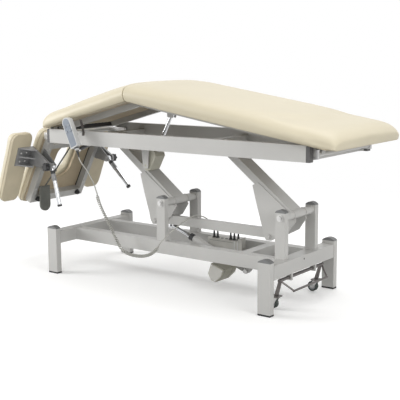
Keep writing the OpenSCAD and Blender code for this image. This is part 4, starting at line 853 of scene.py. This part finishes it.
# Armrest pad about its pin: ends, half widths at the ends, thickness and underside; and its middle across the table
ARM_PAD = (-271.0, 127.0, 61.0, 70.0, 56.0, 153.0)
ARM_PAD_Y = 316.0


class COUCH_OT_armrest_pads(Operator):
    """Padded armrests on either side of the head section"""
    bl_idname = "couch.armrest_pads"
    bl_label = "Armrest Pads"

    def execute(self, context):
        sizes = context.scene.couch_sizes
        dims = (*ARM_PAD, sizes.pad_roll / MM, sizes.pad_roll / MM, sizes.corner / MM)
        for side, y, seed in (("near", -ARM_PAD_Y, 41), ("far", ARM_PAD_Y, 53)):
            place = Matrix.Translation(P(ARM_PIN[0], y, ARM_PIN[1]))
            place = place @ Matrix.Rotation(math.radians(-ARM_ANGLE), 4, "Y")
            cushion_piece(side + "_armrest_skin", side + "_arm_pad", side + "_armrest", place, dims, None, 12,
                          seed, 3.0)
        return {"FINISHED"}


class COUCH_OT_board_trims(Operator):
    """Leatherette turned under the boards, darker as painted shade, with its staples"""
    bl_idname = "couch.board_trims"
    bl_label = "Board Trims"

    def execute(self, context):
        ridge, half = RIDGE_FLAT[0], BOARD_HALF - 0.5
        under_trim("foot_board", M_FOOT @ FLAT, "foot_section", ridge + 4, FOOT_BOARD_END - 1, half, BOARD_Z,
                   (False, True))
        under_trim("back_board", M_BACK @ FLAT, "back_section", BACK_BOARD_END + 1, ridge - 4, half, BOARD_Z,
                   (True, False), CLIP_X)
        return {"FINISHED"}


# Cords: routes in the part's own millimetres, from the strain relief down to the control box
LEAD_ROUTE = [(-580, -346, 672), (-575, -346, 658), (-564, -348, 630), (-547, -345, 604), (-524, -336, 573),
              (-510, -325, 537), (-503, -312, 503), (-502, -302, 475), (-502, -294, 456)]
CURL_ROUTE = [(-502, -294, 456), (-508, -286, 436), (-510, -266, 390), (-492, -250, 335), (-468, -238, 280),
              (-446, -230, 228), (-420, -222, 180), (-386, -220, 156), (-330, -220, 148), (-272, -220, 152),
              (-222, -220, 168), (-184, -220, 196), (-166, -218, 222)]
BOX_ROUTE = [(-166, -218, 222), (-158, -212, 236), (-146, -190, 258), (-130, -150, 288), (-112, -105, 318),
             (-96, -60, 340), (-82, -20, 346), (-66, 20, 334), (-50, 50, 306), (-36, 62, 282), (-36, 62, 263.6)]
# Where the curly cord comes to rest on its way to the base
CURL_REST = (-420, -222, 180)
CORD_D = 5.5
CURL_D = 18.0
CURL_RINGS = 14


def curl_points():
    """Centreline of the curly cord: turns round its hanging route."""
    axis = even_points(spline_points([P(*p) for p in CURL_ROUTE], 960), 0.0001)
    total = line_length(axis)
    steps = bpy.context.scene.couch_sizes.curls * CURL_RINGS
    points = []
    for k in range(steps + 1):
        i = round(k / steps * (len(axis) - 1))
        t = (axis[min(i + 40, len(axis) - 1)] - axis[max(i - 40, 0)]).normalized()
        a = t.cross(Vector((0, 1, 0))).normalized()
        b = t.cross(a)
        s = total * k / steps
        rise = min(max((min(s, total - s) - CORD_D * MM) / (CURL_D * 0.9 * MM), 0), 1)
        w = 2 * math.pi * k / CURL_RINGS
        points.append(axis[i] + (a * math.cos(w) + b * math.sin(w)) * (CURL_D - CORD_D) / 2 * MM * rise)
    return points


class COUCH_OT_cords(Operator):
    """Lead and curly cord of the hand control, and the lead of the control box"""
    bl_idname = "couch.cords"
    bl_label = "Cords"

    def execute(self, context):
        lead = even_points(spline_points([P(*p) for p in LEAD_ROUTE], 200), LEAD_STEP * MM)
        box = even_points(spline_points([P(*p) for p in BOX_ROUTE], 260), LEAD_STEP * MM)
        # The hand control moves with the couch; its cords to the base are given no body and keep their place as drawn
        for name, cad_node, points, sides, bend in (
                ("handset_straight_lead", "handset_lead", lead, 12, ("upper_frame", "head_arm", lead[0], lead[-1])),
                ("handset_curly_cord", "curly_cord", curl_points(), 8,
                 ("head_arm", "base", P(*CURL_ROUTE[0]), P(*CURL_REST))),
                ("control_box_lead", "box_lead", box, 12, None)):
            obj = mesh_object(name, tube_mesh(points, CORD_D / 2, sides))
            finish_piece(obj, "cord", None if bend else "base", 180)
            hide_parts(cad_node)
            if bend:
                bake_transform(obj)
        # Tapered strain relief under the hand control
        down = (lead[3] - lead[0]).normalized()
        profile = [(0, 7.2), (2, 7.4), (5, 6.6)]
        for i in range(6):
            profile += [(7 + i * 4, 6.2 - i * 0.5), (8.4 + i * 4, 5.3 - i * 0.45), (10 + i * 4, 6.0 - i * 0.5)]
        relief = lathe_mesh(lead[0] + down * 0.2 * MM, down, profile + [(33, 3.4), (34, 2.9)], 24)
        add_parts("handset_strain_relief", [relief], "black", "upper_frame", angle=30)
        return {"FINISHED"}


# Fittings
def hex_bolt(at, axis, across, height):
    """Hexagon head with a chamfered top."""
    r = across / math.sqrt(3)
    return lathe_mesh(at, axis, [(0, r), (height * 0.72, r), (height, r * 0.86)], 6)


def socket_screw(at, axis, d):
    """Pan head screw with a cross recess."""
    axis, a, b = sides_of(axis)
    parts = [lathe_mesh(at, axis, [(0, d / 2), (d * 0.18, d / 2), (d * 0.34, d * 0.38), (d * 0.40, d * 0.2)], 20)]
    top = at + axis * d * 0.385 * MM
    for u, v in ((a, b), (b, a)):
        ring = [top + (u * d * 0.24 * i + v * d * 0.05 * j) * MM for i, j in ((-1, -1), (1, -1), (1, 1), (-1, 1))]
        parts.append(loft([ring, [p + axis * 0.25 * MM for p in ring]]))
    return join_meshes(parts)


def add_parts(name, parts, key, body, at=None, angle=35.0):
    """One piece from meshes of one finish, moved by the matrix at when there is one."""
    verts, faces = join_meshes(parts)
    if at is not None:
        verts = [at @ v for v in verts]
    finish_piece(mesh_object(name, (verts, faces)), key, body, angle)


def weld(points, seed, radius=None):
    """Rippled bead along a line."""
    radius = radius or bpy.context.scene.couch_sizes.bead / MM
    pts = even_points(points, WELD_RIPPLE * MM)
    rng = random.Random(seed)
    bumps = [radius * (0.86 + 0.28 * (i % 2) + rng.uniform(-0.08, 0.08)) for i in range(len(pts))]
    return loft([ring_at(p, a, b, r, 8) for p, (a, b), r in zip(pts, frames_along(pts), bumps)])


def rect_weld(sides, seed):
    """Bead round a tube's end: two of its x, y and z are (low, high), and the third is a number."""
    points = []
    for corner in ((0, 0), (1, 0), (1, 1), (0, 1), (0, 0)):
        pick = iter(corner)
        points.append(P(*(v[next(pick)] if isinstance(v, tuple) else v for v in sides)))
    return weld(points, seed)


def frame_at(x, y, z, degrees):
    """Matrix of a piece that is drawn round its own origin and turned about Y."""
    turn = Matrix.Rotation(math.radians(degrees), 4, "Y")
    return Matrix.Translation(P(x, y, z)) @ turn @ Matrix.Translation(-P(0, 0, 0))


def circle(x, z, r, n=24):
    """Points of a circle in the XZ plane."""
    return [(x + r * math.cos(2 * math.pi * k / n), z + r * math.sin(2 * math.pi * k / n)) for k in range(n)]


def scaled_outline(outline, share):
    """Outline made larger or smaller about its middle."""
    cx, cz = (sum(p[k] for p in outline) / len(outline) for k in (0, 1))
    return [(cx + (x - cx) * share, cz + (z - cz) * share) for x, z in outline]


def holed_plate(outer, holes, y0, y1):
    """Thin plate in the XZ plane with round holes, from y0 to y1."""
    bm = bmesh.new()
    for loop in [outer] + holes:
        vs = [bm.verts.new(P(x, y0, z)) for x, z in loop]
        for a, b in zip(vs, vs[1:] + vs[:1]):
            bm.edges.new((a, b))
    bmesh.ops.triangle_fill(bm, use_beauty=True, edges=bm.edges[:])
    grown = bmesh.ops.extrude_face_region(bm, geom=bm.faces[:])
    for v in (g for g in grown["geom"] if isinstance(g, bmesh.types.BMVert)):
        v.co.y = y1 * MM
    bmesh.ops.recalc_face_normals(bm, faces=bm.faces[:])
    # The fill and the extrusion have no fixed order, so the points and faces are sorted
    points = sorted(bm.verts, key=lambda v: v.co[:])
    for i, v in enumerate(points):
        v.index = i
    faces = []
    for ring in ([v.index for v in f.verts] for f in bm.faces):
        first = ring.index(min(ring))
        faces.append(ring[first:] + ring[:first])
    mesh = [v.co.copy() for v in points], sorted(faces)
    bm.free()
    return mesh


def strap_mesh(points, width, thickness):
    """Flat bar along points, its width along X."""
    half = Vector((width / 2 * MM, 0, 0))
    rings = []
    for i, p in enumerate(points):
        a, b = points[max(i - 1, 0)], points[min(i + 1, len(points) - 1)]
        out = RIGHT.cross((b - a).normalized()).normalized() * thickness / 2 * MM
        rings.append([p - half - out, p + half - out, p + half + out, p - half + out])
    return loft(rings)


# Tubes that are welded: rail ends with the way they face, legs, posts, crank hubs and cross tubes
RAIL_ENDS = ((-800.0, 1), (466.5, -1))
RAIL_Y = (106.0, 152.7)
BEAM_Z = (161, 225.5)
LEG_X, LEG_Y, LEG_HALF = (-832.5, 499.0), 270.7, 32.5
POST_X, POST_Y, POST_FOOT, POST_HALF = (-210.8, 484.3), (119.4, 149.0), 225.7, 26.5
ARM_PIVOT_Z = 414
HUB_R, HUB_Y = 20.6, 50.4
GUSSET_SEAM, GUSSET_Y = ((-18, 405), (-150, 506)), 45.4
CROSS_TUBES = ((-690.04, -650.04), (5.06, 45.06), (632.0, 672.0))
CROSS_Y, CROSS_Z = 249.7, (692.6, 734)
# Pitch of a bead's ripples, and the thinner beads of the arms
WELD_RIPPLE = 3.2
HUB_BEAD, GUSSET_BEAD = 1.9, 1.8


class COUCH_OT_welds(Operator):
    """Weld beads where the tubes of the frames meet"""
    bl_idname = "couch.welds"
    bl_label = "Welds"

    def execute(self, context):
        seeds = count(1)
        ends = [(x + way * 0.3, tuple(sorted(s * y for y in RAIL_Y)), BEAM_Z) for x, way in RAIL_ENDS for s in (-1, 1)]
        ends += [((x - LEG_HALF, x + LEG_HALF), s * LEG_Y, BEAM_Z) for x in LEG_X for s in (-1, 1)]
        ends += [((x - POST_HALF, x + POST_HALF), tuple(sorted(s * y for y in POST_Y)), POST_FOOT)
                 for x in POST_X for s in (-1, 1)]
        add_parts("base_welds", [rect_weld(end, next(seeds)) for end in ends], "weld", "base", angle=180)
        for px, arm in zip(POST_X, ("head_arm", "foot_arm")):
            parts = []
            for s in (-1, 1):
                ring = [P(x, s * HUB_Y, z) for x, z in circle(px, ARM_PIVOT_Z, HUB_R, 40)]
                parts.append(weld(ring + ring[:1], next(seeds), HUB_BEAD))
                seam = [P(px + x, s * GUSSET_Y, z) for x, z in GUSSET_SEAM]
                parts.append(weld(seam, next(seeds), GUSSET_BEAD))
            add_parts(arm + "_welds", parts, "weld", arm, angle=180)
        parts = [rect_weld((x, s * CROSS_Y, CROSS_Z), next(seeds)) for x in CROSS_TUBES for s in (-1, 1)]
        add_parts("upper_frame_welds", parts, "weld", "upper_frame", angle=180)
        return {"FINISHED"}


class COUCH_OT_hand_control(Operator):
    """Membrane, button marks, collar and hook of the hand control"""
    bl_idname = "couch.hand_control"
    bl_label = "Hand Control"

    def execute(self, context):
        at = frame_at(*HANDSET, HANDSET_TILT)
        r, top, low = HANDSET_W / 2 - 5, (HANDSET_LEN - HANDSET_W) / 2, 21 - HANDSET_LEN / 2
        arch = [(r * math.cos(math.pi * k / 20), top + r * math.sin(math.pi * k / 20)) for k in range(21)]
        outer = arch + [(-r, low + 4), (-r + 4, low), (r - 4, low), (r, low + 4)]
        holes = [circle(x, z, BUTTON_HOLE) for x, z in BUTTONS]
        plate = holed_plate(outer, holes, -HANDSET_T + 0.1, -HANDSET_T - 0.7)
        add_parts("handset_membrane", [plate], "membrane", "upper_frame", at)
        y = -HANDSET_T - 2.5
        for (x, z), way, body in zip(BUTTONS, (1, -1, 1, -1), BUTTON_BODIES):
            arrow = [(x - 3.2, z - 1.8 * way), (x, z + 3 * way), (x + 3.2, z - 1.8 * way)]
            add_parts(body + "_mark", [prism_mesh(arrow[::way], y - 0.35, y + 0.2)], "shell", body, at)
        collar = lathe_mesh(P(0, -HANDSET_T / 2, low - 7), UP, [(-6, 10.6), (-5, 11.4), (-1, 11.4), (0, 10.6)], 28)
        add_parts("handset_collar", [collar], "black", "upper_frame", at)
        add_parts("handset_hook", [strap_mesh([P(*p) for p in HOOK], 15, 3)], "dark_steel", "back_section")
        return {"FINISHED"}


class COUCH_OT_head_fittings(Operator):
    """Black strips along the board edges, ribs, buffers and screws on the head frame"""
    bl_idname = "couch.head_fittings"
    bl_label = "Head Fittings"

    def execute(self, context):
        (x0, x1), y0, z0 = HEAD_CHANNEL_X, HEAD_CHANNEL_Y, BOARD_Z - 40
        dark_strips, ribs, buffers, screws = [], [], [], []
        for s in (-1, 1):
            ya, yb = sorted((s * y0, s * (y0 - 2.4)))
            # Black strip along the top of each channel, under the board's edge
            dark_strips.append(box_mesh((x0 + 42, ya, BOARD_Z - 5), (x1 - 30, yb, BOARD_Z - 0.5)))
            ya, yb = sorted((s * y0, s * (y0 - 1.0)))
            ribs += [box_mesh((x0 + 42, ya, z), (x1 - 30, yb, z + 2.4)) for z in (z0 + 11, z0 + 24)]
            buffers.append(lathe_mesh(P(x0 + 22, s * 152, z0 + 0.5), DOWN, HEAD_BUFFER, 26))
            screws += [socket_screw(P(x, s * (y0 + 15), z0), DOWN, 8) for x in (x0 + 90, (x0 + x1) / 2, x1 - 90)]
        for name, parts, key in (("channel_gaskets", dark_strips, "black"), ("channel_ribs", ribs, "paint"),
                                 ("buffers", buffers, "rubber"), ("channel_screws", screws, "zinc")):
            add_parts("head_" + name, parts, key, "head_section", M_HEAD)
        return {"FINISHED"}


class COUCH_OT_back_sleeve(Operator):
    """Black sleeve round the end bar of the middle section"""
    bl_idname = "couch.back_sleeve"
    bl_label = "Back Sleeve"

    def execute(self, context):
        x0, x1, z0 = BACK_BAR
        wall, top = 1.2, BOARD_Z - 0.6
        outline = [(x0 - wall, top), (x0 - wall, z0), (x0, z0 - wall), (x1, z0 - wall), (x1 + wall, z0),
                   (x1 + wall, top)]
        add_parts("back_bar_sleeve", [prism_mesh(outline, -226, 226)], "black", "back_section", M_BACK)
        return {"FINISHED"}


class COUCH_OT_armrest_fittings(Operator):
    """Screws of the armrest castings, and clamps, sleeves and plugs of the stays"""
    bl_idname = "couch.armrest_fittings"
    bl_label = "Armrest Fittings"

    def execute(self, context):
        for s, side, angle in ((-1, "near", 14), (1, "far", 45)):
            screws = [socket_screw(P(x, s * y, ARM_PLATE_Z), DOWN, 10) for x in (-30, 18) for y in (276, 312)]
            add_parts(side + "_armrest_screws", screws, "zinc", side + "_armrest",
                      frame_at(ARM_PIN[0], 0, ARM_PIN[1], -ARM_ANGLE))
            at = frame_at(ARM_PIN[0], s * ARM_TUBE_Y, ARM_PIN[1], -angle)
            for name, (z, key, profile) in STAY_RINGS.items():
                ring = lathe_mesh(P(0, 0, z), DOWN, profile, 28)
                add_parts(side + "_tube_" + name, [ring], key, side + "_tube", at)
        return {"FINISHED"}


class COUCH_OT_caster_fittings(Operator):
    """Wheel hubs and axle bolts of the casters"""
    bl_idname = "couch.caster_fittings"
    bl_label = "Caster Fittings"

    def execute(self, context):
        for side in ("near", "far"):
            wheel, fork = ([Vector(p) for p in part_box(side + name)] for name in ("_caster_wheel", "_caster_fork"))
            centre = (wheel[0] + wheel[1]) / 2
            hubs = [lathe_mesh(Vector((centre.x, p.y, centre.z)), (0, s, 0), WHEEL_HUB, 30)
                    for p, s in zip(wheel, (-1, 1))]
            add_parts(side + "_wheel_hub", hubs, "hub", side + "_wheel")
            bolts = [hex_bolt(Vector((centre.x, p.y, centre.z)), (0, s, 0), 11, 4.5) for p, s in zip(fork, (-1, 1))]
            add_parts(side + "_axle_bolts", bolts, "zinc", side + "_fork")
        return {"FINISHED"}


class COUCH_OT_motor_fittings(Operator):
    """End plates, seams, screws and collars of the two actuators"""
    bl_idname = "couch.motor_fittings"
    bl_label = "Motor Fittings"

    def execute(self, context):
        at = frame_at(*LIFT_MOTOR_AT, LIFT_TILT)
        plate = prism_mesh(scaled_outline(LIFT_MOTOR, 0.93), -133.4, -131.6)
        add_parts("lift_motor_end_plate", [plate], "light", "lift_motor", at)
        seams = [prism_mesh(scaled_outline(LIFT_MOTOR, 1.006), y, y + 1.4) for y in (-118, -52)]
        add_parts("lift_motor_seams", seams, "black", "lift_motor", at)
        corners = scaled_outline(LIFT_MOTOR, 0.82)
        screws = [socket_screw(P(x, -133.3, z), -BACK, 7) for x, z in (corners[k] for k in (0, 2, 3, 5))]
        add_parts("lift_motor_screws", screws, "zinc", "lift_motor", at)
        collar = lathe_mesh(P(-372, 0, 0), -RIGHT, LIFT_COLLAR, 32)
        add_parts("lift_tube_collar", [collar], "black", "lift_motor", at)
        at = frame_at(*PEAK_MOTOR_AT, PEAK_TILT)
        lid = box_mesh((23.8, -33, -22), (25.4, 33, 22))
        add_parts("peak_motor_end_plate", [lid], "light", "peak_motor", at)
        screws = [socket_screw(P(25.4, y, z), RIGHT, 6) for y in (-27, 27) for z in (-16, 16)]
        add_parts("peak_motor_screws", screws, "zinc", "peak_motor", at)
        collar = lathe_mesh(P(-152, 0, 0), -RIGHT, PEAK_COLLAR, 32)
        add_parts("peak_tube_collar", [collar], "black", "peak_motor", at)
        return {"FINISHED"}


class COUCH_OT_box_fittings(Operator):
    """Nose, flanges and sockets of the control box, and the plug in the end beam"""
    bl_idname = "couch.box_fittings"
    bl_label = "Box Fittings"

    def execute(self, context):
        x0, x1, y0, y1, z0, z1 = CONTROL_BOX
        ym, w = (y0 + y1) / 2, (y1 - y0) / 2
        nose = [(x0 - 26 * math.sin(math.pi * k / 12), ym - w * math.cos(math.pi * k / 12)) for k in range(13)]
        rings = [[P(x, y, z) for x, y in scaled_outline(nose, share)]
                 for z, share in ((z0, 0.97), (z0 + 2, 1), (z1 - 2, 1), (z1, 0.97))]
        add_parts("control_box_nose", [loft(rings)], "light", "base", angle=40)
        flanges = [box_mesh((x, y0 - 1.6, z0), (x + 5, y1 + 1.6, z1 + 1.8)) for x in (x1 - 22, x1 - 3)]
        add_parts("control_box_flanges", flanges, "shell", "base")
        parts = [box_mesh((x0 + 1, y0 - 0.5, z1 - 9), (x1 - 23, y0 + 1, z1 - 7.8))]
        for places, profile in ((SPARE_SOCKETS, BOX_SOCKET), (PLUG_X, PLUG_COLLAR)):
            parts += [lathe_mesh(P(x, PLUG_Y, z1 - 1), UP, profile, 24) for x in places]
        add_parts("control_box_sockets", parts, "black", "base")
        plug = lathe_mesh(P(*BEAM_HOLE), RIGHT, [(-1, 4.4), (0.4, 4.4), (0.7, 3.6)], 20)
        add_parts("beam_hole_plug", [plug], "black", "base")
        return {"FINISHED"}


# Finish of each rigid piece of the frame
NODE_FINISH = {
    "paint": ("base_end_frames", "base_rails", "pivot_posts", "left_lift_arm", "left_gusset", "right_lift_arm",
              "right_gusset", "tie_bar", "upper_side_rails", "upper_cross_tubes", "peak_hanger", "foot_frame",
              "back_frame", "head_frame", "lift_actuator_tube", "peak_actuator_tube"),
    "cap": ("dome_caps",),
    "end_cap": ("rail_end_caps",),
    "rubber": ("rubber_feet",),
    "zinc": ("pivot_shafts", "hinge_brackets", "upper_pivot_pins", "near_caster_fork", "far_caster_fork"),
    "dark_steel": ("caster_lift_bar",),
    "cast": ("arm_clamps", "near_arm_bracket", "far_arm_bracket"),
    "chrome": ("lift_actuator_rod", "peak_actuator_rod", "gas_spring_rod", "near_arm_tube", "far_arm_tube"),
    "light": ("control_box",),
    "shell": ("handset_case",),
    "motor": ("lift_motor_housing", "peak_motor_housing"),
    "black": ("box_leads", "near_star_knob", "far_star_knob"),
    "membrane": ("button_lift_up", "button_lift_down", "button_peak_up", "button_peak_down"),
    "cover": ("foot_board", "back_board", "head_board"),
    "nylon": ("back_glides",),
    "black_metal": ("gas_spring_cylinder",),
    "paddle": ("release_lever",),
    "tyre": ("near_caster_wheel", "far_caster_wheel"),
}


class COUCH_OT_dress_nodes(Operator):
    """Give every rigid piece of the frame its material"""
    bl_idname = "couch.dress_nodes"
    bl_label = "Dress Rigid Pieces"

    def execute(self, context):
        for key, names in NODE_FINISH.items():
            for name in names:
                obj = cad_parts[name]
                obj.data.materials.clear()
                obj.data.materials.append(material(key))
                smooth(obj, 28)
        return {"FINISHED"}


# Stage, in metres: where the floor fades to white, and each lamp's place, aim and size
FLOOR_FADE = (1.5, 3.2)
FLOOR_HALF = 40
FLOOR_Z = -0.0005
LAMPS = {"key": ((1.0, -4.4, 3.4), (0.1, 0, 0.5), 3.2), "top": ((0.6, 1.2, 4.8), (0.0, 0, 0.5), 4.0),
         "left_fill": ((-4.2, -2.6, 1.7), (-0.6, 0, 0.5), 2.6), "front_fill": ((4.6, -1.6, 1.6), (0.2, 0, 0.4), 2.6)}


def seen_rays(tree):
    """1 for camera, glossy and transmission rays, which see the white backdrop."""
    rays = node(tree, "LightPath").outputs
    seen = rays["Is Camera Ray"]
    for name in ("Is Glossy Ray", "Is Transmission Ray"):
        seen = maths(tree, "MAXIMUM", seen, rays[name])
    return seen


def floor_material(bounce, glow):
    """Pale floor that glows a little to the camera and throws only part of its light back."""
    mat = bpy.data.materials.new("studio_floor")
    mat.use_nodes = True
    tree = mat.node_tree
    shader = tree.nodes["Principled BSDF"]
    shader.inputs["Roughness"].default_value = 0.9
    shader.inputs["Emission Color"].default_value = (1, 1, 1, 1)
    shader.inputs["Emission Strength"].default_value = glow
    drift = node(tree, "TexNoise", {"Scale": 1.5})
    ramp = node(tree, "ValToRGB", {"Fac": drift.outputs["Fac"]})
    ramp.color_ramp.elements[0].color = (0.955, 0.955, 0.95, 1)
    ramp.color_ramp.elements[1].color = (0.985, 0.985, 0.98, 1)
    tree.links.new(ramp.outputs["Color"], shader.inputs["Base Color"])
    dull = node(tree, "BsdfDiffuse", {"Color": (bounce, bounce, bounce * 0.98, 1)})
    # Away from the table the floor fades into the white backdrop
    place = node(tree, "NewGeometry").outputs["Position"]
    reach = node(tree, "VectorMath", {0: place}, operation="LENGTH")
    fade = node(tree, "MapRange", {"Value": reach.outputs["Value"], "From Min": FLOOR_FADE[0],
                                   "From Max": FLOOR_FADE[1]}, interpolation_type="SMOOTHSTEP")
    white = node(tree, "Emission")
    far = node(tree, "MixShader",
               {"Fac": fade.outputs["Result"], 1: shader.outputs["BSDF"], 2: white.outputs["Emission"]})
    both = node(tree, "MixShader", {"Fac": seen_rays(tree), 1: dull.outputs["BSDF"], 2: far.outputs["Shader"]})
    tree.links.new(both.outputs["Shader"], tree.nodes["Material Output"].inputs["Surface"])
    return mat


class COUCH_OT_stage(Operator):
    """Pale floor, white world and four soft lamps"""
    bl_idname = "couch.stage"
    bl_label = "Stage"

    def execute(self, context):
        scene = context.scene
        studio = scene.couch_studio
        scene.view_settings.view_transform = "Standard"
        scene.world = bpy.data.worlds.new("studio")
        scene.world.use_nodes = True
        tree = scene.world.node_tree
        back = tree.nodes["Background"]
        back.inputs["Color"].default_value = (1.0, 1.0, 1.0, 1)
        level = node(tree, "MapRange", {"Value": seen_rays(tree), "To Min": studio.world, "To Max": 1.0})
        tree.links.new(level.outputs["Result"], back.inputs["Strength"])
        corners = [(x * FLOOR_HALF, y * FLOOR_HALF, FLOOR_Z) for x, y in ((-1, -1), (1, -1), (1, 1), (-1, 1))]
        floor = mesh_object("studio_floor", (corners, [(0, 1, 2, 3)]))
        floor.data.materials.append(floor_material(studio.floor_bounce, studio.floor_glow))
        for name, (at, aim, size) in LAMPS.items():
            data = bpy.data.lights.new(name, "AREA")
            data.shape = "DISK"
            data.size = size
            data.energy = getattr(studio, name)
            lamp = bpy.data.objects.new(name, data)
            scene.collection.objects.link(lamp)
            lamp.location = at
            lamp.rotation_euler = (Vector(at) - Vector(aim)).to_track_quat("Z", "Y").to_euler()
        return {"FINISHED"}


class COUCH_OT_camera(Operator):
    """Camera at the angle of the photograph"""
    bl_idname = "couch.camera"
    bl_label = "Camera"

    def execute(self, context):
        at, look = P(*CAMERA_AT), P(*CAMERA_LOOKS_AT)
        back = (at - look).normalized()
        right = UP.cross(back).normalized()
        up = back.cross(right)
        r = math.radians(CAMERA_ROLL)
        side = right * math.cos(r) + up * math.sin(r)
        top = up * math.cos(r) - right * math.sin(r)
        data = bpy.data.cameras.new("photo_camera")
        data.lens = context.scene.couch_studio.lens
        data.sensor_width = 36
        data.sensor_fit = "HORIZONTAL"
        data.clip_end = 100
        cam = bpy.data.objects.new("photo_camera", data)
        context.scene.collection.objects.link(cam)
        cam.matrix_world = Matrix.Translation(at) @ Matrix((side, top, back)).transposed().to_4x4()
        context.scene.camera = cam
        return {"FINISHED"}


SETTINGS = {"couch_sizes": CouchSizes, "couch_colours": CouchColours, "couch_studio": CouchStudio}
OPERATORS = (COUCH_OT_camera, COUCH_OT_finishes, COUCH_OT_dress_nodes, COUCH_OT_cords, COUCH_OT_couch_cushions,
             COUCH_OT_head_cushion, COUCH_OT_armrest_pads, COUCH_OT_board_trims, COUCH_OT_welds,
             COUCH_OT_hand_control, COUCH_OT_head_fittings, COUCH_OT_back_sleeve, COUCH_OT_armrest_fittings,
             COUCH_OT_caster_fittings, COUCH_OT_motor_fittings, COUCH_OT_box_fittings, COUCH_OT_stage)


class COUCH_PT_sidebar(Panel):
    """Settings and pieces of the treatment couch"""
    bl_idname = "COUCH_PT_sidebar"
    bl_label = "Treatment Couch"
    bl_space_type = "VIEW_3D"
    bl_region_type = "UI"
    bl_category = "Couch"

    def draw(self, context):
        for key, group in SETTINGS.items():
            box = self.layout.box()
            box.label(text=key.split("_")[1].title())
            for name in group.__annotations__:
                box.prop(getattr(context.scene, key), name)
        column = self.layout.column(align=True)
        for operator in OPERATORS:
            column.operator(operator.bl_idname)


CLASSES = (*SETTINGS.values(), *OPERATORS, COUCH_PT_sidebar)


def register():
    for cls in CLASSES:
        bpy.utils.register_class(cls)
    for key, group in SETTINGS.items():
        setattr(bpy.types.Scene, key, PointerProperty(type=group))


def unregister():
    for key in SETTINGS:
        delattr(bpy.types.Scene, key)
    for cls in reversed(CLASSES):
        bpy.utils.unregister_class(cls)


def main():
    register()
    bpy.ops.couch.camera()
    bpy.ops.couch.finishes()
    bpy.ops.couch.dress_nodes()
    bpy.ops.couch.cords()
    bpy.ops.couch.couch_cushions()
    bpy.ops.couch.head_cushion()
    bpy.ops.couch.armrest_pads()
    bpy.ops.couch.board_trims()
    bpy.ops.couch.welds()
    bpy.ops.couch.hand_control()
    bpy.ops.couch.head_fittings()
    bpy.ops.couch.back_sleeve()
    bpy.ops.couch.armrest_fittings()
    bpy.ops.couch.caster_fittings()
    bpy.ops.couch.motor_fittings()
    bpy.ops.couch.box_fittings()
    bpy.ops.couch.stage()
    bpy.context.view_layer.update()


if __name__ == "__main__":
    main()
